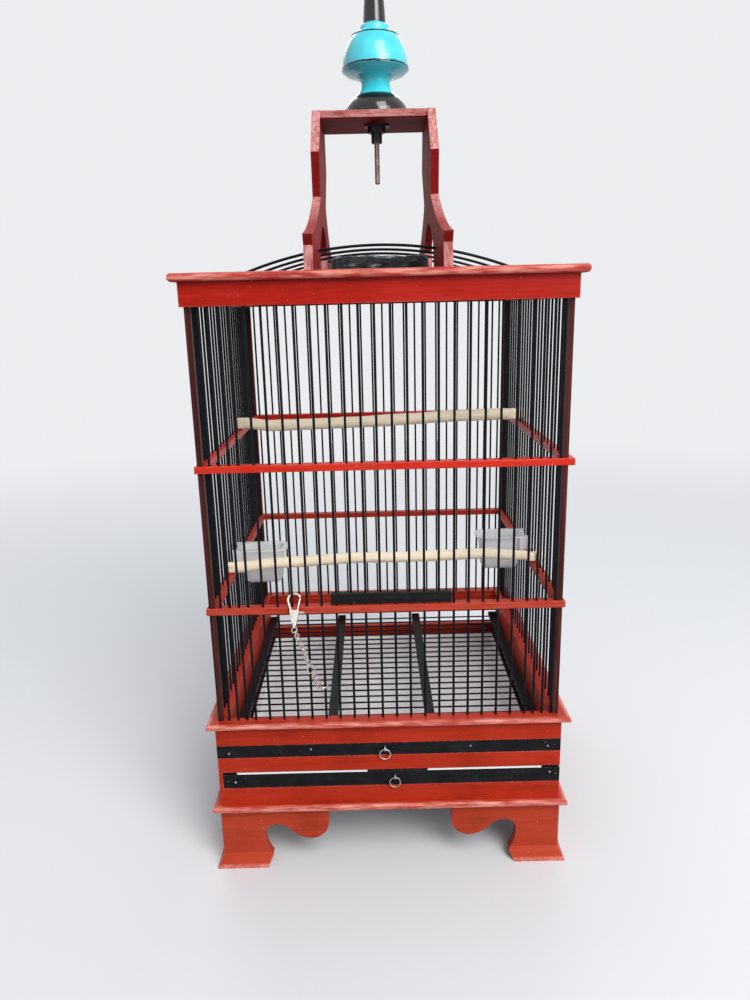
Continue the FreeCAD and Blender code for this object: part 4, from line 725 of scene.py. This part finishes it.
def add_perches():
    natural_stick("upper_stick", "upper_perch",
                  start=(-0.180, 0.04425, 0.45195), end=(0.1855, 0.07375, 0.45195), radii=(0.0072, 0.0076),
                  bends=((0, 0), (0.04, 0), (0.125, -0.0037), (0.26, -0.0037), (0.42, -0.0033),
                         (0.59, -0.0018), (0.75, 0.0002), (0.91, 0.0006), (0.95, 0), (1, 0)),
                  knots=((0.16, 0.07), (0.37, 0.08), (0.52, 0.06), (0.71, 0.07), (0.88, 0.06)), seed=3.0)
    natural_stick("lower_stick", "lower_perch",
                  start=(-0.180, -0.07375, 0.30545), end=(0.1855, -0.059, 0.30545), radii=(0.0066, 0.0061),
                  bends=((0, 0), (0.04, 0), (0.19, 0.0040), (0.42, 0.0063), (0.59, 0.0050),
                         (0.80, 0.0056), (0.93, 0.0022), (0.96, 0), (1, 0)),
                  knots=((0.12, 0.10), (0.33, 0.07), (0.47, 0.12), (0.66, 0.06), (0.83, 0.09)), seed=11.0)


def add_hook_rod():
    """Rod with a rolled thread below the finial, smooth above it, that leans out and bends into the hook."""
    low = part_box("hook_rod")[0][2]
    rings = []

    def ring(middle, side_way, radius):
        """One ring round the rod; the radius is a number, or a function of the turn round the rod."""
        around = []
        for side in range(ROD_SIDES):
            turn = 2 * math.pi * side / ROD_SIDES
            out = side_way * math.cos(turn) + Vector((0, 1, 0)) * math.sin(turn)
            around.append(middle + out * (radius(turn) if callable(radius) else radius))
        rings.append(around)

    def threaded(z):
        def radius(turn):
            phase = ((z - low) / THREAD_PITCH - turn / (2 * math.pi)) % 1.0
            return min(ROD_RADIUS - THREAD_DEPTH * abs(phase * 2 - 1), THREAD_END_RADIUS + (z - low))
        return radius

    steps = round((THREAD_TOP - low) / THREAD_PITCH * RINGS_A_TURN)
    for step in range(steps + 1):
        z = low + (THREAD_TOP - low) * step / steps
        ring(Vector((ROD_X, 0, z)), Vector((1, 0, 0)), threaded(z))
    for z in SHANK_HEIGHTS:
        ring(Vector((ROD_X, 0, z)), Vector((1, 0, 0)), ROD_RADIUS)
    bend = SHANK_HEIGHTS[-1]
    for step in range(1, LEAN_STEPS + 1):
        turn = math.radians(LEAN_TURN * step / LEAN_STEPS)
        middle = Vector((ROD_X + HOOK_RADIUS * (1 - math.cos(turn)), 0, bend + HOOK_RADIUS * math.sin(turn)))
        ring(middle, Vector((math.cos(turn), 0, -math.sin(turn))), ROD_RADIUS)
    centre = Vector((ROD_X, 0, bend + 2 * HOOK_RADIUS * math.sin(math.radians(LEAN_TURN))))
    for step in range(1, ROUND_STEPS + 1):
        turn = math.radians(-LEAN_TURN + ROUND_TURN * step / ROUND_STEPS)
        left = HOOK_RADIUS * math.radians(ROUND_TURN) * (1 - step / ROUND_STEPS)
        size = ROD_RADIUS * max(TIP_SHARE, math.sqrt(1 - max(0.0, 1 - left / TIP_LENGTH) ** 2))
        out = Vector((math.cos(turn), 0, math.sin(turn)))
        ring(centre + out * HOOK_RADIUS, out, size)
    lofted("threaded_hook_rod", rings, "rusty", "hook", "steel", "hook_rod")


def block_grid(bm, low, size):
    """Skin of a box, divided into small squares that share their points."""
    found = {}

    def vert(*index):
        if index not in found:
            share = Vector([index[n] / BLOCK_CUTS[n] for n in range(3)])
            found[index] = bm.verts.new(low + size * share)
        return found[index]

    for axis in range(3):
        one, two = (axis + 1) % 3, (axis + 2) % 3
        for end in (0, BLOCK_CUTS[axis]):
            for i in range(BLOCK_CUTS[one]):
                for j in range(BLOCK_CUTS[two]):
                    corner = []
                    for di, dj in ((0, 0), (1, 0), (1, 1), (0, 1)):
                        index = [0, 0, 0]
                        index[axis], index[one], index[two] = end, i + di, j + dj
                        corner.append(vert(*index))
                    bm.faces.new(corner)
    bmesh.ops.recalc_face_normals(bm, faces=bm.faces)


def add_roof_block():
    """Rough bar of wood with rounded edges and a lumpy skin, inside the solid that it stands for."""
    low, high = (Vector(corner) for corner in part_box("roof_block"))
    radii = BLOCK_RADII
    bm = bmesh.new()
    block_grid(bm, low, high - low)
    for point in bm.verts:
        core = Vector([max(low[n] + radii[n], min(high[n] - radii[n], point.co[n])) for n in range(3)])
        away = Vector([(point.co[n] - core[n]) / radii[n] for n in range(3)]).normalized()
        broad, fine = noise.noise(core * DENT_FINENESS), noise.noise(point.co * GRAIN_FINENESS)
        dent = DENT_DEPTH * max(0.0, min(1.0, 0.5 + 0.5 * broad + 0.3 * fine))
        if -away.z > FACES_DOWN:
            dent = 0.0
        point.co = core + Vector([away[n] * (radii[n] - dent) for n in range(3)])
    placed("rough_roof_block", bm, "block", "cage", "black_wood", "roof_block")


def add_brads(name, body, places, face):
    """Small domed nail heads on a drawer's front."""
    bm = bmesh.new()
    turns = [2 * math.pi * side / BRAD_SIDES for side in range(BRAD_SIDES)]
    for x, z in places:
        rows = []
        for lift, size in BRAD_RINGS:
            points = [(x + size * math.cos(turn), face - lift, z + size * math.sin(turn)) for turn in turns]
            rows.append([bm.verts.new(point) for point in points])
        for first, second in zip(rows, rows[1:]):
            band(bm, first, second)
        bm.faces.new(rows[-1])
        bm.faces.new(rows[0][::-1])
    bmesh.ops.recalc_face_normals(bm, faces=bm.faces)
    placed(name, bm, "zinc", body, "steel")


def add_pieces():
    add_perches()
    add_hook_rod()
    add_roof_block()
    add_brads("grate_brads", "grate", GRATE_BRADS, face=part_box("grate_front")[0][1])
    add_brads("tray_brads", "tray", TRAY_BRADS, face=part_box("tray_front")[0][1])


# Stage
def seen_rays(tree):
    """1 for what the camera sees, in metal and through glass too, and 0 for the light that is thrown back."""
    path = tree.nodes.new("ShaderNodeLightPath")
    seen = path.outputs["Is Camera Ray"]
    for ray in ("Is Glossy Ray", "Is Transmission Ray"):
        either = tree.nodes.new("ShaderNodeMath")
        either.operation = "MAXIMUM"
        tree.links.new(seen, either.inputs[0])
        tree.links.new(path.outputs[ray], either.inputs[1])
        seen = either.outputs[0]
    return seen


def add_floor():
    """Round pale floor that keeps the shadow near the cage and fades into the pale world further out."""
    m = Mat("floor")
    seen = seen_rays(m.tree)
    away = m.node("ShaderNodeVectorMath", operation="LENGTH")
    m.link(m.coords.outputs["Object"], away.inputs[0])
    far = m.node("ShaderNodeMapRange", interpolation_type="SMOOTHSTEP")
    m.link(away.outputs["Value"], far.inputs["Value"])
    far.inputs["From Min"].default_value = FADE_START
    far.inputs["From Max"].default_value = FADE_END
    glow = m.times(seen, far.outputs["Result"])
    near = m.mix(seen, FLOOR_THROWN, FLOOR_SEEN)
    m.wire(Base_Color=m.mix(glow, near, (0.0, 0.0, 0.0)), Emission_Strength=glow)
    m.set(Roughness=0.9, Specular_IOR_Level=0.0, Emission_Color=(*PAPER, 1.0))
    bm = bmesh.new()
    bmesh.ops.create_circle(bm, cap_ends=True, segments=96, radius=FLOOR_RADIUS)
    mesh = bpy.data.meshes.new("floor")
    bm.to_mesh(mesh)
    bm.free()
    mesh.materials.append(m.mat)
    floor = bpy.data.objects.new("floor", mesh)
    bpy.context.scene.collection.objects.link(floor)


def add_world():
    """World that looks as pale as the floor and lights the object with less."""
    world = bpy.data.worlds.new("world")
    bpy.context.scene.world = world
    world.use_nodes = True
    tree = world.node_tree
    sky = tree.nodes.new("ShaderNodeMix")
    sky.data_type = "RGBA"
    sky.inputs[COLOUR_A].default_value = (*SKY_THROWN, 1.0)
    sky.inputs[COLOUR_B].default_value = (*PAPER, 1.0)
    tree.links.new(seen_rays(tree), sky.inputs[MIX_FACTOR])
    tree.links.new(sky.outputs[MIXED_COLOUR], tree.nodes["Background"].inputs["Color"])


def add_lamp(name, place, target, size, power, colour):
    """Soft rectangular lamp that points at its target."""
    data = bpy.data.lights.new(name, "AREA")
    data.shape = "RECTANGLE"
    data.size, data.size_y = size
    data.energy = power
    data.color = colour
    lamp = bpy.data.objects.new(name, data)
    lamp.location = place
    lamp.rotation_mode = "QUATERNION"
    lamp.rotation_quaternion = (Vector(target) - Vector(place)).to_track_quat("-Z", "Y")
    bpy.context.scene.collection.objects.link(lamp)


add_camera()
dress_nodes()
add_pieces()
add_floor()
add_world()
for lamp in LAMPS:
    add_lamp(*lamp)
bpy.context.scene.view_settings.view_transform = "Standard"
